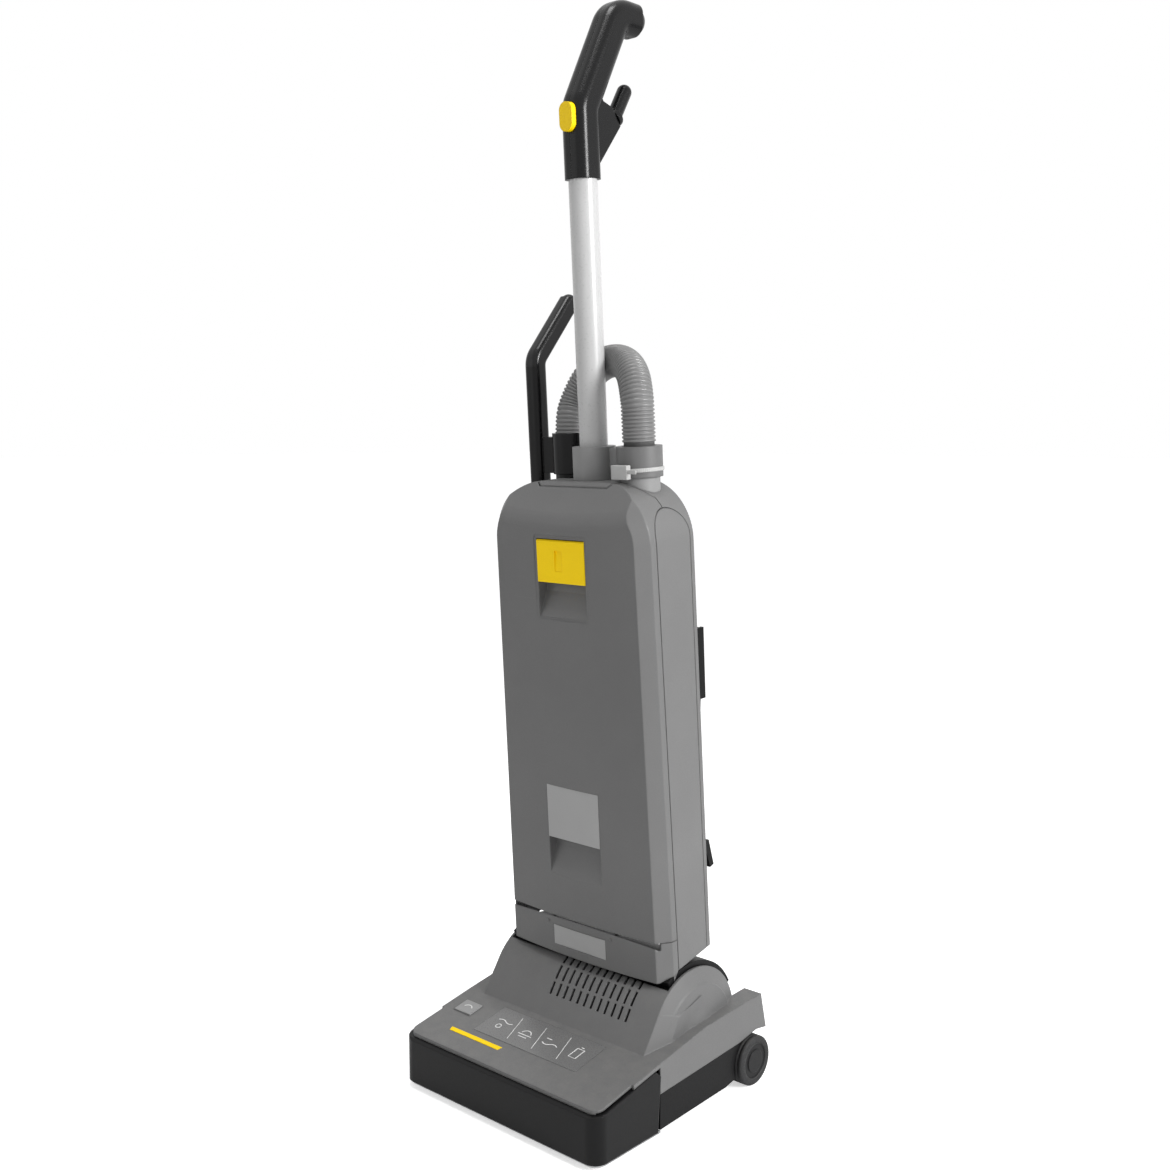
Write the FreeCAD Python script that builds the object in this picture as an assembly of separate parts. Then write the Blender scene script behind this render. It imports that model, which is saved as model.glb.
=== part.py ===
import FreeCAD, Part
import math
import os

V = FreeCAD.Vector

# Upright vacuum cleaner for commercial floors, in millimetres.
# X to the right seen from the front, Y to the rear, Z up. The origin is on
# the floor, in the middle of the space that the machine takes up.

# Driving dimensions of the base
base_length = 302.0
cover_half = 149.0
bumper_half = 150.0
wall = 3.0
gap = 0.3
wheel_radius = 29.0
wheel_width = 23.0
wheel_outer_x = 154.8
roller_radius = 9.0
brush_back = 43.0
brush_z = 31.0
brush_core_radius = 15.0
brush_tip_radius = 26.0
brush_half = 122.0
motor_back = 96.0
motor_z = 46.0
brush_pulley_radius = 14.0
motor_pulley_radius = 8.0
belt_x = 119.0
belt_width = 8.0
pivot_back = 194.0
pivot_z = 80.0
cheek_radius = 76.0
cheek_inner_x = 121.5
ridge_x = 124.5
neck_radius = 71.5
skirt_radius = 82.0
neck_half = 120.5
slope_foot_back = 107.0
slope_foot_z = 86.5
slope_deg = 56.3
lip_back = 151.0
bay_half = 125.0

# Driving dimensions of the body, in its own upright frame: x, d to the rear, u up
lean_deg = 3.64
body_back = 164.2
body_z = 149.8
body_half = 121.2
side_draft = 0.0127
body_top = 552.0
crown_radius = 66.0
seam_u = 46.5
rear_side_d = 65.3
rear_d = 78.0
rear_bevel = 15.0
bevel_width = 11.7
bevel_line = (-1.6, -0.0138)
crease_line = (-18.2, -0.0067)
front_line = (-24.3, -0.0067)
front_radius = 992.0
roll_start = (-27.7, 512.0)
roll_deg = 37.3
roll_radius = 30.0
tube_d = 36.9
tube_radius = 16.0
cuff_x = 66.0
wand_x = -54.0
wand_d = 58.5
wand_radius = 17.0
hose_radius = 18.5
grip_u = 878.0
tube_top_u = 922.0
latch_u = (442.0, 490.0)
plate_u = (143.0, 205.5)
front_d = -26.0


def y_at(back):
    """Distance behind the bumper's front face, as a Y in the shared frame."""
    return back - base_length / 2


def box(x0, x1, y0, y1, z0, z1):
    return Part.makeBox(x1 - x0, y1 - y0, z1 - z0, V(x0, y0, z0))


def both_sides(shape):
    return shape.fuse(shape.mirror(V(0, 0, 0), V(1, 0, 0)))


def cyl(radius, start, direction, length):
    return Part.makeCylinder(radius, length, V(*start), V(*direction))


def cyl_x(radius, x0, x1, y, z):
    return cyl(radius, (x0, y, z), (1, 0, 0), x1 - x0)


def cyl_z(radius, x, y, z0, z1):
    return cyl(radius, (x, y, z0), (0, 0, 1), z1 - z0)


def tube_z(outer, inner, x, y, z0, z1):
    return cyl_z(outer, x, y, z0, z1).cut(cyl_z(inner, x, y, z0 - 1, z1 + 1))


def face_of(items):
    """A flat face from points; a pair of points stands for an arc through the first to the second."""
    edges = []
    start = items[0]
    last = start
    for item in items[1:] + [start]:
        if isinstance(item, tuple):
            edges.append(Part.Arc(last, item[0], item[1]).toShape())
            last = item[1]
        elif (item - last).Length > 1e-6:
            edges.append(Part.LineSegment(last, item).toShape())
            last = item
    return Part.Face(Part.Wire(edges))


def side_prism(points, x0, x1):
    """A side view of the base, as (behind the front, height) points, made x0 to x1 wide."""
    face = face_of([V(x0, y_at(s), z) for s, z in points])
    return face.extrude(V(x1 - x0, 0, 0))


def depth_prism(points, x0, x1):
    """A side view of the body, as (d, u) points, made x0 to x1 wide."""
    face = face_of([V(x0, d, u) for d, u in points])
    return face.extrude(V(x1 - x0, 0, 0))


def rounded_box(x0, x1, y0, y1, z0, z1, radius, axis):
    """A box whose four edges along one axis are rounded."""
    solid = box(x0, x1, y0, y1, z0, z1)
    along = {"x": V(1, 0, 0), "y": V(0, 1, 0), "z": V(0, 0, 1)}[axis]
    edges = [e for e in solid.Edges if abs(e.tangentAt(e.FirstParameter).dot(along)) > 0.99]
    return solid.makeFillet(radius, edges)


def lean(shape):
    """Take a shape from the body's upright frame to the parked, slightly forward pose."""
    placed = shape.copy()
    placed.rotate(V(0, 0, 0), V(1, 0, 0), lean_deg)
    placed.translate(V(0, y_at(body_back), body_z))
    return placed


def save(name, shape):
    shape.exportStep(os.path.join("parts", name + ".step"))


def save_body(name, shape):
    save(name, lean(shape))


# Base: side profiles shared by the cover, the bumper and the chassis

deck_line = [(5.4, 65.0), (slope_foot_back, 84.5), (186.0, 98.5), (291.0, 103.5)]
deck_skirt = [(301.5, 60.0), (282.0, 63.0), (250.0, 57.5), (104.4, 49.5)]
bumper_back = 104.0
bumper_drop = 4.8
slope_rad = math.radians(slope_deg)
slope_length = 42.8
rail_foot_z = 64.0


def on_slope(along, out=0.0):
    """A point up the slope under the body, and out from its face."""
    s = slope_foot_back + along * math.cos(slope_rad) - out * math.sin(slope_rad)
    return s, slope_foot_z + along * math.sin(slope_rad) + out * math.cos(slope_rad)


def plan_mask(half, front, corner, z0, z1):
    """The rounded plan of the base's front, open to the rear."""
    y0 = y_at(front)
    y1 = y_at(base_length + 20)
    k = corner * (1 - math.sqrt(0.5))
    face = face_of([
        V(-half, y1, z0), V(-half, y0 + corner, z0),
        (V(-half + k, y0 + k, z0), V(-half + corner, y0, z0)),
        V(half - corner, y0, z0),
        (V(half - k, y0 + k, z0), V(half, y0 + corner, z0)),
        V(half, y1, z0)])
    return face.extrude(V(0, 0, z1 - z0))


def hump(radius, inset, half):
    """The round hump over the pivot with the straight slope in front of it."""
    dome = cyl_x(radius, -half, half, y_at(pivot_back), pivot_z)
    foot = on_slope(-6.0, -inset)
    head = on_slope(slope_length, -inset)
    ramp = side_prism([foot, head, (pivot_back, pivot_z), (pivot_back, 60.0), (foot[0], 60.0)],
                      -half, half)
    above = box(-half, half, y_at(90), y_at(base_length), 60.0, 200.0)
    return dome.common(above).fuse(ramp)


def cheek():
    """The right cheek: a drafted round wall that carries the pivot, with a raised inner round."""
    profile = [(cheek_inner_x, 0.0), (cheek_inner_x, cheek_radius), (ridge_x, cheek_radius),
               (131.0, 59.5), (132.6, 58.0), (135.5, 30.0), (138.5, 17.0), (138.5, 0.0)]
    face = face_of([V(x, y_at(pivot_back), pivot_z + r) for x, r in profile])
    disc = face.revolve(V(0, y_at(pivot_back), pivot_z), V(1, 0, 0), 360)
    inner = [on_slope(-4.0), on_slope(slope_length), (pivot_back, pivot_z + 30), (pivot_back, 78.0),
             (slope_foot_back, 78.0)]
    outer = [(slope_foot_back + 27, 78.0), (slope_foot_back + 48, 116.0), (pivot_back, 128.0),
             (pivot_back, 78.0), (slope_foot_back + 40, 78.0)]
    rings = []
    for x, points in ((cheek_inner_x, inner), (ridge_x, inner), (135.0, outer)):
        corners = [V(x, y_at(s), z) for s, z in points]
        rings.append(Part.makePolygon(corners + [corners[0]]))
    flank = Part.makeLoft(rings[:2], True, True).fuse(Part.makeLoft(rings[1:], True, True))
    keep = box(cheek_inner_x, 145.0, y_at(95), y_at(base_length), rail_foot_z, 200.0)
    return disc.fuse(flank).common(keep)


def base_cover():
    top = deck_line + deck_skirt + [(104.3, 79.4), (5.4, 60.6)]
    deck = side_prism(top, -cover_half, cover_half)
    deck = deck.common(plan_mask(cover_half - 3.0, 5.4, 12.0, 0, 200).fuse(
        box(-cover_half, cover_half, y_at(60), y_at(base_length + 20), 0, 200)))
    lower = [(s, z - wall) for s, z in deck_line]
    hollow = side_prism([(8.4, 0.0)] + [(8.4, 62.6)] + lower[1:] + [(298.0, 60.0), (298.0, 0.0)],
                        -cover_half + wall, cover_half - wall)
    bay = box(-bay_half, bay_half, y_at(lip_back), y_at(base_length + 20), -10, 220)
    shell = deck.fuse(hump(cheek_radius, 0.0, ridge_x))
    shell = shell.cut(hollow.fuse(hump(cheek_radius - wall, wall, cheek_inner_x)))
    shell = shell.cut(bay)
    rail = side_prism([(lip_back, rail_foot_z), (299.0, rail_foot_z), (291.0, 101.5), (186.0, 96.5),
                       (lip_back, 92.0)], bay_half, bay_half + wall)
    side = cheek().fuse(rail)
    bush_hole = cyl_x(12.2, 100, 136.5, y_at(pivot_back), pivot_z)
    shell = shell.fuse(both_sides(side)).cut(both_sides(bush_hole))
    for tool in vent_slots() + [panel_recess(), button_hole()]:
        shell = shell.cut(tool)
    return shell.removeSplitter()


# Cooling slots over the brush motor: twelve columns, three rows
slot_columns = 12
slot_pitch = 10.4
slot_width = 3.4
slot_first_x = -29.0
slot_rows = [(24.0, 38.5), (42.0, 58.5), (62.0, 74.0)]


def vent_slots():
    slots = []
    for row_start, row_end in slot_rows:
        s0, z0 = on_slope(row_start, -8.0)
        s1, z1 = on_slope(row_end, -8.0)
        s2, z2 = on_slope(row_end, 14.0)
        s3, z3 = on_slope(row_start, 14.0)
        for column in range(slot_columns):
            x = slot_first_x + column * slot_pitch
            slots.append(side_prism([(s0, z0), (s1, z1), (s2, z2), (s3, z3)],
                                    x - slot_width / 2, x + slot_width / 2))
    return slots


# Bare instruction panel in front of the slope, and the release button beside it
deck_rise = (deck_line[1][1] - deck_line[0][1]) / (deck_line[1][0] - deck_line[0][0])
panel_x = (-80.0, 78.0)
panel_back = (46.0, 97.0)
panel_depth = 1.2
button_x = (-131.0, -105.0)
button_back = (63.0, 84.0)


button_mid = (sum(button_x) / 2, sum(button_back) / 2)
spring_z = (55.0, 65.0)


def deck_z(back):
    return deck_line[0][1] + (back - deck_line[0][0]) * deck_rise


def deck_slab(x, back, low, high):
    """A plate that lies along the deck, between two heights off its face."""
    corners = [(back[0], deck_z(back[0]) + low), (back[1], deck_z(back[1]) + low),
               (back[1], deck_z(back[1]) + high), (back[0], deck_z(back[0]) + high)]
    return side_prism(corners, x[0], x[1])


def grown(pair, by):
    return pair[0] - by, pair[1] + by


def panel_recess():
    return deck_slab(grown(panel_x, 0.2), grown(panel_back, 0.2), -panel_depth, 20.0)


def button_hole():
    return deck_slab(grown(button_x, 0.6), grown(button_back, 0.6), -12.0, 20.0)


def front_bumper():
    top = [(0.0, 58.0), (3.0, 59.9)]
    top.append((bumper_back - 8.0, deck_z(bumper_back - 8.0) - bumper_drop))
    top.append((bumper_back, deck_z(bumper_back) - bumper_drop - 9.0))
    profile = top + [(bumper_back - 4.0, 8.2), (0.0, 8.2)]
    outer = side_prism(profile, -bumper_half, bumper_half)
    outer = outer.common(plan_mask(bumper_half, 0.0, 16.0, 0, 200))
    inner = plan_mask(bumper_half - 7.5, 7.5, 9.0, 0, 200)
    return outer.cut(inner).cut(side_prism([(-5, 0), (2.5, 8.2), (2.5, 0)], -200, 200))


# Underside: the tray with its wheel brackets, the brush chamber and the front rollers
chassis_floor = 8.8
chamber_clear = 3.0
bracket_x = (126.0, 130.5)
wheel_back = base_length - wheel_radius
axle_radius = 5.0
roller_x = 112.0
roller_back = 87.0
roller_half = 9.0
pin_radius = 2.55
pin_half = 12.5


def brush_chamber(radius, half):
    """The room round the brush: a round roof on straight walls, open below."""
    y = y_at(brush_back)
    roof = cyl_x(radius, -half, half, y, brush_z)
    return roof.fuse(box(-half, half, y - radius, y + radius, -5.0, brush_z))


def wheel_side():
    """The right side wall of the chassis with the bracket that holds the wheel's axle."""
    y = y_at(wheel_back)
    wall_side = side_prism([(bumper_back + 1, 48.8), (250.0, 56.8), (250.0, 18.0), (224.0, 13.0),
                            (bumper_back + 1, 9.0)], 128.0, cover_half - 0.5)
    wall_side = wall_side.cut(side_prism([(bumper_back - 5, 44.0), (230.0, 51.0), (230.0, 18.0),
                                          (bumper_back - 5, 14.0)], 131.0, cover_half - 3.5))
    bracket = side_prism([(160.0, rail_foot_z - gap), (284.0, rail_foot_z - gap), (286.0, 40.0),
                          (262.0, 22.0), (240.0, 14.0), (160.0, 12.0)], *bracket_x)
    arch = cyl_x(wheel_radius + 4.0, bracket_x[1], 160.0, y, wheel_radius)
    side = wall_side.cut(arch).fuse(bracket)
    return side.cut(cyl_x(axle_radius + 0.05, 120.0, 140.0, y, wheel_radius))


def chassis():
    pan = side_prism([(bumper_back + 1, 9.0), (224.0, 13.0), (284.0, 13.0), (284.0, 16.0),
                      (224.0, 16.0), (bumper_back + 1, 12.0)], -128.0, 128.0)
    room = brush_tip_radius + chamber_clear
    post = cyl_z(7.0, button_mid[0], y_at(button_mid[1]), 20.0, spring_z[0])
    hood = brush_chamber(room + wall, 134.0).fuse(post)
    hood = hood.common(box(-140, 140, y_at(0), y_at(110), chassis_floor, 80))
    mouth = cyl_x(14.0, -104, -60, y_at(brush_back + 25), brush_z + 8)
    belt_slot = box(belt_x - 7, belt_x + 7, y_at(brush_back + 10), y_at(motor_back), 10, 70)
    hood = hood.cut(brush_chamber(room, 131.0)).cut(belt_slot).cut(mouth)

    tray = box(-134, 134, y_at(brush_back + 30), y_at(bumper_back + 3), chassis_floor, 12.0)
    for x in (-roller_x, roller_x):
        tray = tray.cut(box(x - roller_half - 1.4, x + roller_half + 1.4, y_at(roller_back - 11),
                            y_at(roller_back + 11), 0, 20))
        for x0 in (x - pin_half - 0.2, x + roller_half + 1.4):
            tray = tray.fuse(box(x0, x0 + 2.3, y_at(roller_back - 5), y_at(roller_back + 5), 5.4, 14.0))
        tray = tray.cut(cyl_x(pin_radius + 0.05, x - pin_half, x + pin_half, y_at(roller_back),
                              roller_radius))
    return hood.fuse([tray, pan, both_sides(wheel_side())]).removeSplitter()


def sole_plate():
    plate = plan_mask(bumper_half - 2.0, 2.8, 14.0, 5.2, 8.0)
    plate = plate.common(box(-200, 200, y_at(0), y_at(bumper_back + 2), 0, 20))
    mouth = rounded_box(-127, 127, y_at(brush_back - 22), y_at(brush_back + 22), 0, 20, 6.0, "z")
    plate = plate.cut(mouth)
    for x in (-roller_x, roller_x):
        plate = plate.cut(box(x - 13, x + 13, y_at(roller_back - 12), y_at(roller_back + 12), 0, 20))
    return plate


def brush_tufts():
    """Two spirals of tufts, set in the core."""
    rows = 24
    turns = 1.5
    tufts = []
    for start in (0.0, math.pi):
        for i in range(rows):
            x = -brush_half + 10 + i * (2 * brush_half - 32) / (rows - 1)
            angle = start + turns * 2 * math.pi * i / (rows - 1)
            out = V(0, math.cos(angle), math.sin(angle))
            root = V(x, y_at(brush_back), brush_z) + out * (brush_core_radius - 3.0)
            tufts.append(Part.makeCylinder(2.6, brush_tip_radius - brush_core_radius + 3.0, root, out))
    return tufts


def belt_loop(grow):
    """The outline of the belt's run round both pulleys, grown by a distance."""
    r1 = brush_pulley_radius + grow
    r2 = motor_pulley_radius + grow
    dy = motor_back - brush_back
    dz = motor_z - brush_z
    length = math.hypot(dy, dz)
    heading = math.atan2(dz, dy)
    spread = math.acos((r1 - r2) / length)
    a = V(0, y_at(brush_back), brush_z)
    b = V(0, y_at(motor_back), motor_z)

    def rim(centre, radius, angle):
        return centre + V(0, math.cos(angle), math.sin(angle)) * radius

    face = face_of([
        rim(a, r1, heading + spread), (rim(a, r1, heading + math.pi), rim(a, r1, heading - spread)),
        rim(b, r2, heading - spread), (rim(b, r2, heading), rim(b, r2, heading + spread))])
    face.translate(V(belt_x - belt_width / 2, 0, 0))
    return face.extrude(V(belt_width, 0, 0))


def rear_wheel():
    """Hub and tyre of the right rear wheel."""
    x0, x1 = wheel_outer_x - wheel_width, wheel_outer_x
    y = y_at(wheel_back)
    hub = cyl_x(20.0, x0 + 1.0, x1 - 1.0, y, wheel_radius).fuse(cyl_x(13.5, x0, x1, y, wheel_radius))
    hub = hub.cut(cyl_x(axle_radius + 0.06, x0 - 1, x1 - 3, y, wheel_radius))
    tyre = cyl_x(wheel_radius, x0, x1, y, wheel_radius)
    tyre = tyre.makeFillet(3.0, [e for e in tyre.Edges if e.Length > 100])
    return hub, tyre.cut(cyl_x(20.0, x0 - 1, x1 + 1, y, wheel_radius))


def suction_duct():
    """Bent air duct from the brush chamber back under the neck."""
    x = -82.0
    outer = Part.makeLoft([
        Part.Wire(Part.makeCircle(16.0, V(x, y_at(brush_back + 32.5), 40.0), V(0, 1, 0))),
        Part.Wire(Part.makeCircle(16.0, V(x, y_at(brush_back + 70), 37.0), V(0, 1, 0)))], True)
    inner = Part.makeLoft([
        Part.Wire(Part.makeCircle(14.0, V(x, y_at(brush_back + 30), 40.0), V(0, 1, 0))),
        Part.Wire(Part.makeCircle(14.0, V(x, y_at(brush_back + 71), 37.0), V(0, 1, 0)))], True)
    return outer.cut(inner)


def coil_spring(x, y, z0, z1, coil_radius, wire_radius, turns):
    """An unbroken coil of round wire standing on Z."""
    rise = (z1 - z0 - 2 * wire_radius) / turns
    helix = Part.makeHelix(rise, z1 - z0 - 2 * wire_radius, coil_radius)
    section = Part.Wire(Part.makeCircle(wire_radius, V(coil_radius, 0, 0), V(0, 1, 0)))
    spring = Part.Wire(helix).makePipeShell([section], True, True)
    spring.translate(V(x, y, z0 + wire_radius))
    return spring


def make_base():
    save("base_cover", base_cover())
    save("front_bumper", front_bumper())
    save("chassis", chassis())
    save("sole_plate", sole_plate())

    y = y_at(brush_back)
    tufts = brush_tufts()
    core = cyl_x(brush_core_radius, -brush_half, brush_half - 12, y, brush_z)
    core = core.fuse(cyl_x(5.0, -brush_half - 6, brush_half + 6, y, brush_z))
    for tuft in tufts:
        core = core.cut(tuft)
    save("brush_core", core)
    save("brush_bristles", Part.makeCompound(tufts))
    pulley_x = (belt_x - belt_width / 2 - 1, belt_x + belt_width / 2 + 1)
    bearing = cyl_x(9.0, brush_half + 3, 131, y, brush_z).cut(cyl_x(5.06, 100, 140, y, brush_z))
    save("brush_bearings", both_sides(bearing))
    pulley = cyl_x(brush_pulley_radius, pulley_x[0], pulley_x[1], y, brush_z)
    save("brush_pulley", pulley.cut(cyl_x(5.0, 100, 140, y, brush_z)))

    my = y_at(motor_back)
    case = cyl_x(23.0, -20, 104, my, motor_z).cut(cyl_x(20.5, -17, 101, my, motor_z))
    save("brush_motor", case.cut(cyl_x(4.05, -30, 130, my, motor_z)))
    rotor = cyl_x(4.0, -24, belt_x + 5, my, motor_z)
    rotor = rotor.fuse(cyl_x(15.0, 8, 76, my, motor_z))
    save("motor_rotor", rotor)
    small = cyl_x(motor_pulley_radius, pulley_x[0], pulley_x[1], my, motor_z)
    save("motor_pulley", small.cut(cyl_x(4.0, 100, 140, my, motor_z)))
    save("drive_belt", belt_loop(gap + 2.2).cut(belt_loop(gap)))

    hub, tyre = rear_wheel()
    roller = cyl_x(roller_radius, roller_x - roller_half, roller_x + roller_half, y_at(roller_back),
                   roller_radius)
    roller = roller.cut(cyl_x(pin_radius + 0.05, 90, 130, y_at(roller_back), roller_radius))
    for shape, name in ((hub, "rear_hub_"), (tyre, "rear_tyre_"), (roller, "front_roller_")):
        save(name + "right", shape)
        save(name + "left", shape.mirror(V(0, 0, 0), V(1, 0, 0)))
    axle = cyl_x(axle_radius, bracket_x[0] - 0.2, wheel_outer_x - 3.8, y_at(wheel_back), wheel_radius)
    save("wheel_axles", both_sides(axle))
    pin = cyl_x(pin_radius, roller_x - pin_half, roller_x + pin_half, y_at(roller_back), roller_radius)
    save("roller_pins", both_sides(pin))
    save("suction_duct", suction_duct())

    button = deck_slab(button_x, button_back, -11.0, 1.5)
    bx, by = button_mid[0], y_at(button_mid[1])
    save("release_button", button.fuse(cyl_z(6.5, bx, by, spring_z[1], 72.0)).removeSplitter())
    save("release_spring", coil_spring(bx, by, spring_z[0], spring_z[1], 5.0, 0.7, 3))
    save("instruction_panel", deck_slab(panel_x, panel_back, -panel_depth, 0.2))
    bush = cyl_x(12.0, cheek_inner_x - 0.4, 134.5, y_at(pivot_back), pivot_z)
    bush = bush.cut(cyl_x(9.05, 100, 133.0, y_at(pivot_back), pivot_z))
    save("pivot_bushes", both_sides(bush))


# Body: shells

pivot_d = ((pivot_back - body_back) * math.cos(math.radians(lean_deg))
           + (pivot_z - body_z) * math.sin(math.radians(lean_deg)))
pivot_u = ((pivot_z - body_z) * math.cos(math.radians(lean_deg))
           - (pivot_back - body_back) * math.sin(math.radians(lean_deg)))


def front_view(inset, line, shrink=0.0):
    """The body's outline seen from the front, on a plane whose d changes slightly with height."""
    top = body_top - inset - shrink
    r = crown_radius - inset - shrink
    foot = -30.0
    half = body_half - inset - shrink
    x0 = half - side_draft * foot
    x1 = half - side_draft * (top - r)
    k = r * (1 - math.sqrt(0.5))

    def at(x, u):
        return V(x, line[0] + line[1] * u, u)

    return face_of([
        at(-x0, foot), at(-x1, top - r), (at(-x1 + k, top - k), at(-x1 + r, top)), at(x1 - r, top),
        (at(x1 - k, top - k), at(x1, top - r)), at(x0, foot)])


def crown(inset):
    """The front view of the body with its two large top corners, as a mask."""
    return front_view(inset, (-60.0, 0.0)).extrude(V(0, 200, 0))


def bowed_front(inset):
    """Everything behind the bowed front face."""
    reach = 160.0
    bow = front_radius - math.sqrt(front_radius ** 2 - reach ** 2)
    ends = []
    for u in (-60.0, 640.0):
        d = front_line[0] + front_line[1] * u + inset
        face = face_of([V(-reach, 200, u), V(-reach, d + bow, u), (V(0, d, u), V(reach, d + bow, u)),
                        V(reach, 200, u)])
        ends.append(face.OuterWire)
    return Part.makeLoft(ends, True, True)


def top_slope(inset):
    """Everything behind the slope that leads from the front face to the top."""
    way_d = math.sin(math.radians(roll_deg))
    way_u = math.cos(math.radians(roll_deg))
    d = roll_start[0] + inset * way_u
    u = roll_start[1] - inset * way_d
    low = (d - 40 * way_d, u - 40 * way_u)
    high = (d + 60 * way_d, u + 60 * way_u)
    return depth_prism([(low[0], -60), low, high, (high[0], 640), (200, 640), (200, -60)], -200, 200)


def body_solid(inset, u0, u1):
    """The whole outside of the body, moved in by an inset, between two heights."""
    deep = 1.7
    far = [bevel_line[i] + deep * (crease_line[i] - bevel_line[i]) for i in (0, 1)]
    views = [front_view(inset, (rear_d - inset, 0.0), rear_bevel),
             front_view(inset, (rear_side_d - inset, 0.0)),
             front_view(inset, (bevel_line[0] + inset / 2, bevel_line[1])),
             front_view(inset, (far[0] + inset / 2, far[1]), deep * bevel_width)]
    solid = Part.makeLoft([view.OuterWire for view in views], True, True)
    solid = solid.common(bowed_front(inset)).common(top_slope(inset))
    if inset == 0.0:
        bend = [e for e in solid.Edges
                if e.BoundBox.XLength > 150 and roll_start[1] - 12 < e.BoundBox.Center.z < roll_start[1] + 8
                and e.BoundBox.Center.y < -20]
        solid = solid.makeFillet(roll_radius, bend)
    return solid.common(box(-200, 200, -100, 200, u0, u1))


door_line = (7.2, -0.0119)
arch_centre = (30.2, 495.0)
arch_radius = 28.7
door_back = 28.0
tongue = [(-92.0, 120.0), (-92.0, 26.0), (-50.0, -1.0), (50.0, -1.0), (92.0, 26.0), (92.0, 120.0)]


def door_plane(offset):
    """Everything in front of the straight part of the line between door and housing."""
    foot = door_line[0] - 60 * door_line[1] + offset
    head = door_line[0] + 640 * door_line[1] + offset
    return depth_prism([(-80, -60), (foot, -60), (head, 640), (-80, 640)], -200, 200)


def parting(offset):
    """Everything in front of the line between door and housing, which steps back over the top."""
    d, u = arch_centre
    r = arch_radius + 0.5 - offset
    k = r * math.sqrt(0.5)
    back = door_back + offset
    rise = math.sqrt(r ** 2 - (back - d) ** 2)
    foot = door_line[0] - 60 * door_line[1] + offset
    x0 = -200
    face = face_of([
        V(x0, -80, -60), V(x0, foot, -60), V(x0, d - r, u), (V(x0, d - k, u + k), V(x0, back, u + rise)),
        V(x0, back, 640), V(x0, -80, 640)])
    block = face.extrude(V(400, 0, 0))
    grow = -offset
    plan = [V(math.copysign(abs(x) + grow, x), y - grow, 505) for x, y in tongue]
    return block.cut(face_of(plan).extrude(V(0, 0, 140)))


def bottom_cut():
    """The space below the body's slanted lower edge, with the room for the neck."""
    low = depth_prism([(-80, -0.01), (-2, -0.01), (6, 10), (rear_d + 10, 23.5), (rear_d + 10, -90),
                       (-80, -90)], -200, 200)
    return low.fuse(cyl_x(skirt_radius + 0.2, -neck_half - 0.5, neck_half + 0.5, pivot_d, pivot_u))


wand_channel = (wand_x - wand_radius - 4.0, wand_x + wand_radius + 4.0)
side_panel_thick = 2.6


def side_panel_outline(grow, side):
    """The side panel's outline: straight edges under a round arch, open to the front."""
    d, u = arch_centre
    r = arch_radius + grow
    x0, x1 = sorted((side * (body_half - 60), side * (body_half + 2)))
    face = face_of([V(x0, -20, -30), V(x0, -20, u), V(x0, d - r, u), (V(x0, d, u + r), V(x0, d + r, u)),
                    V(x0, d + r, -30)])
    return face.extrude(V(x1 - x0, 0, 0))


def side_panel(side):
    skin = crown(0.0).cut(crown(side_panel_thick)).common(side_panel_outline(0.0, side))
    return skin.cut(parting(0.5)).cut(bottom_cut())


def side_recess(side):
    skin = crown(-1.0).cut(crown(side_panel_thick + 0.2))
    return skin.common(side_panel_outline(0.7, side))


grille_rows = 9
grille_u = 80.0
grille_pitch = 9.0
screw_radius = 1.5
screw_head = 3.6
screw_places = [(x, u) for u in (66.0, 240.0, 450.0) for x in (-92.0, 92.0)]
collar_screw = (-24.6, tube_d, 575.0)


def screw(place, way):
    """A round-headed screw with a cross recess; its head stands on the given place."""
    way = V(*way)
    across = V(0, 0, 1).cross(way)
    start = V(*place)
    solid = Part.makeCylinder(screw_head, 1.8, start, way)
    solid = solid.fuse(Part.makeCylinder(screw_radius, 3.6, start - way * 3.6, way))
    for bar in (across, V(0, 0, 1)):
        side = bar.cross(way)
        corner = start + way * 0.9 - bar * 2.2 - side * 0.4
        slot = Part.makePolygon([corner, corner + bar * 4.4, corner + bar * 4.4 + side * 0.8,
                                 corner + side * 0.8, corner])
        solid = solid.cut(Part.Face(slot).extrude(way * 2.0))
    return solid


def rear_housing():
    shell = body_solid(0.0, -5, body_top + 1)
    hollow = body_solid(wall + 2.2, -30, body_top - 6)
    channel_wall = box(wand_channel[0] - wall, wand_channel[1] + wall, wand_d - wand_radius - 6, 90,
                       40, 600)
    shelf = box(-140, 140, -20, 90, 188, 192).cut(box(-30, 80, 0, 50, 180, 200))
    shell = shell.cut(hollow.cut(channel_wall).cut(shelf))
    channel = box(wand_channel[0], wand_channel[1], wand_d - wand_radius - 3.2, 90, 52, 600)
    shell = shell.cut(parting(0.5)).cut(bottom_cut()).cut(channel)
    shell = shell.cut(side_recess(1)).cut(side_recess(-1))
    shell = shell.cut(cyl_z(tube_radius + 0.1, 0, tube_d, 500, 600))
    shell = shell.cut(cyl_z(17.0, cuff_x, tube_d, 500, 600))
    for i in range(grille_rows):
        u = grille_u + i * grille_pitch
        shell = shell.cut(box(20, 84, 70, 90, u, u + 0.4 * grille_pitch))
    for x, u in screw_places:
        shell = shell.cut(cyl(screw_radius + 0.1, (x, rear_d - 4.0, u), (0, 1, 0), 10.0))
    return shell.removeSplitter()


def scoop(half, u_top, height, depth):
    """A finger scoop: deepest under the plate, running out to the surface below."""
    return depth_prism([(front_d - 10, u_top), (front_d + depth, u_top),
                        (front_d + depth - 2, u_top - 12), (front_d + 0.5, u_top - height),
                        (front_d - 10, u_top - height)], -half, half)


hinge_d = -19.0
hinge_u = 52.5
hinge_x = (42.0, 46.0, 50.0, 54.0)
hinge_pin_radius = 1.5


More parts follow.
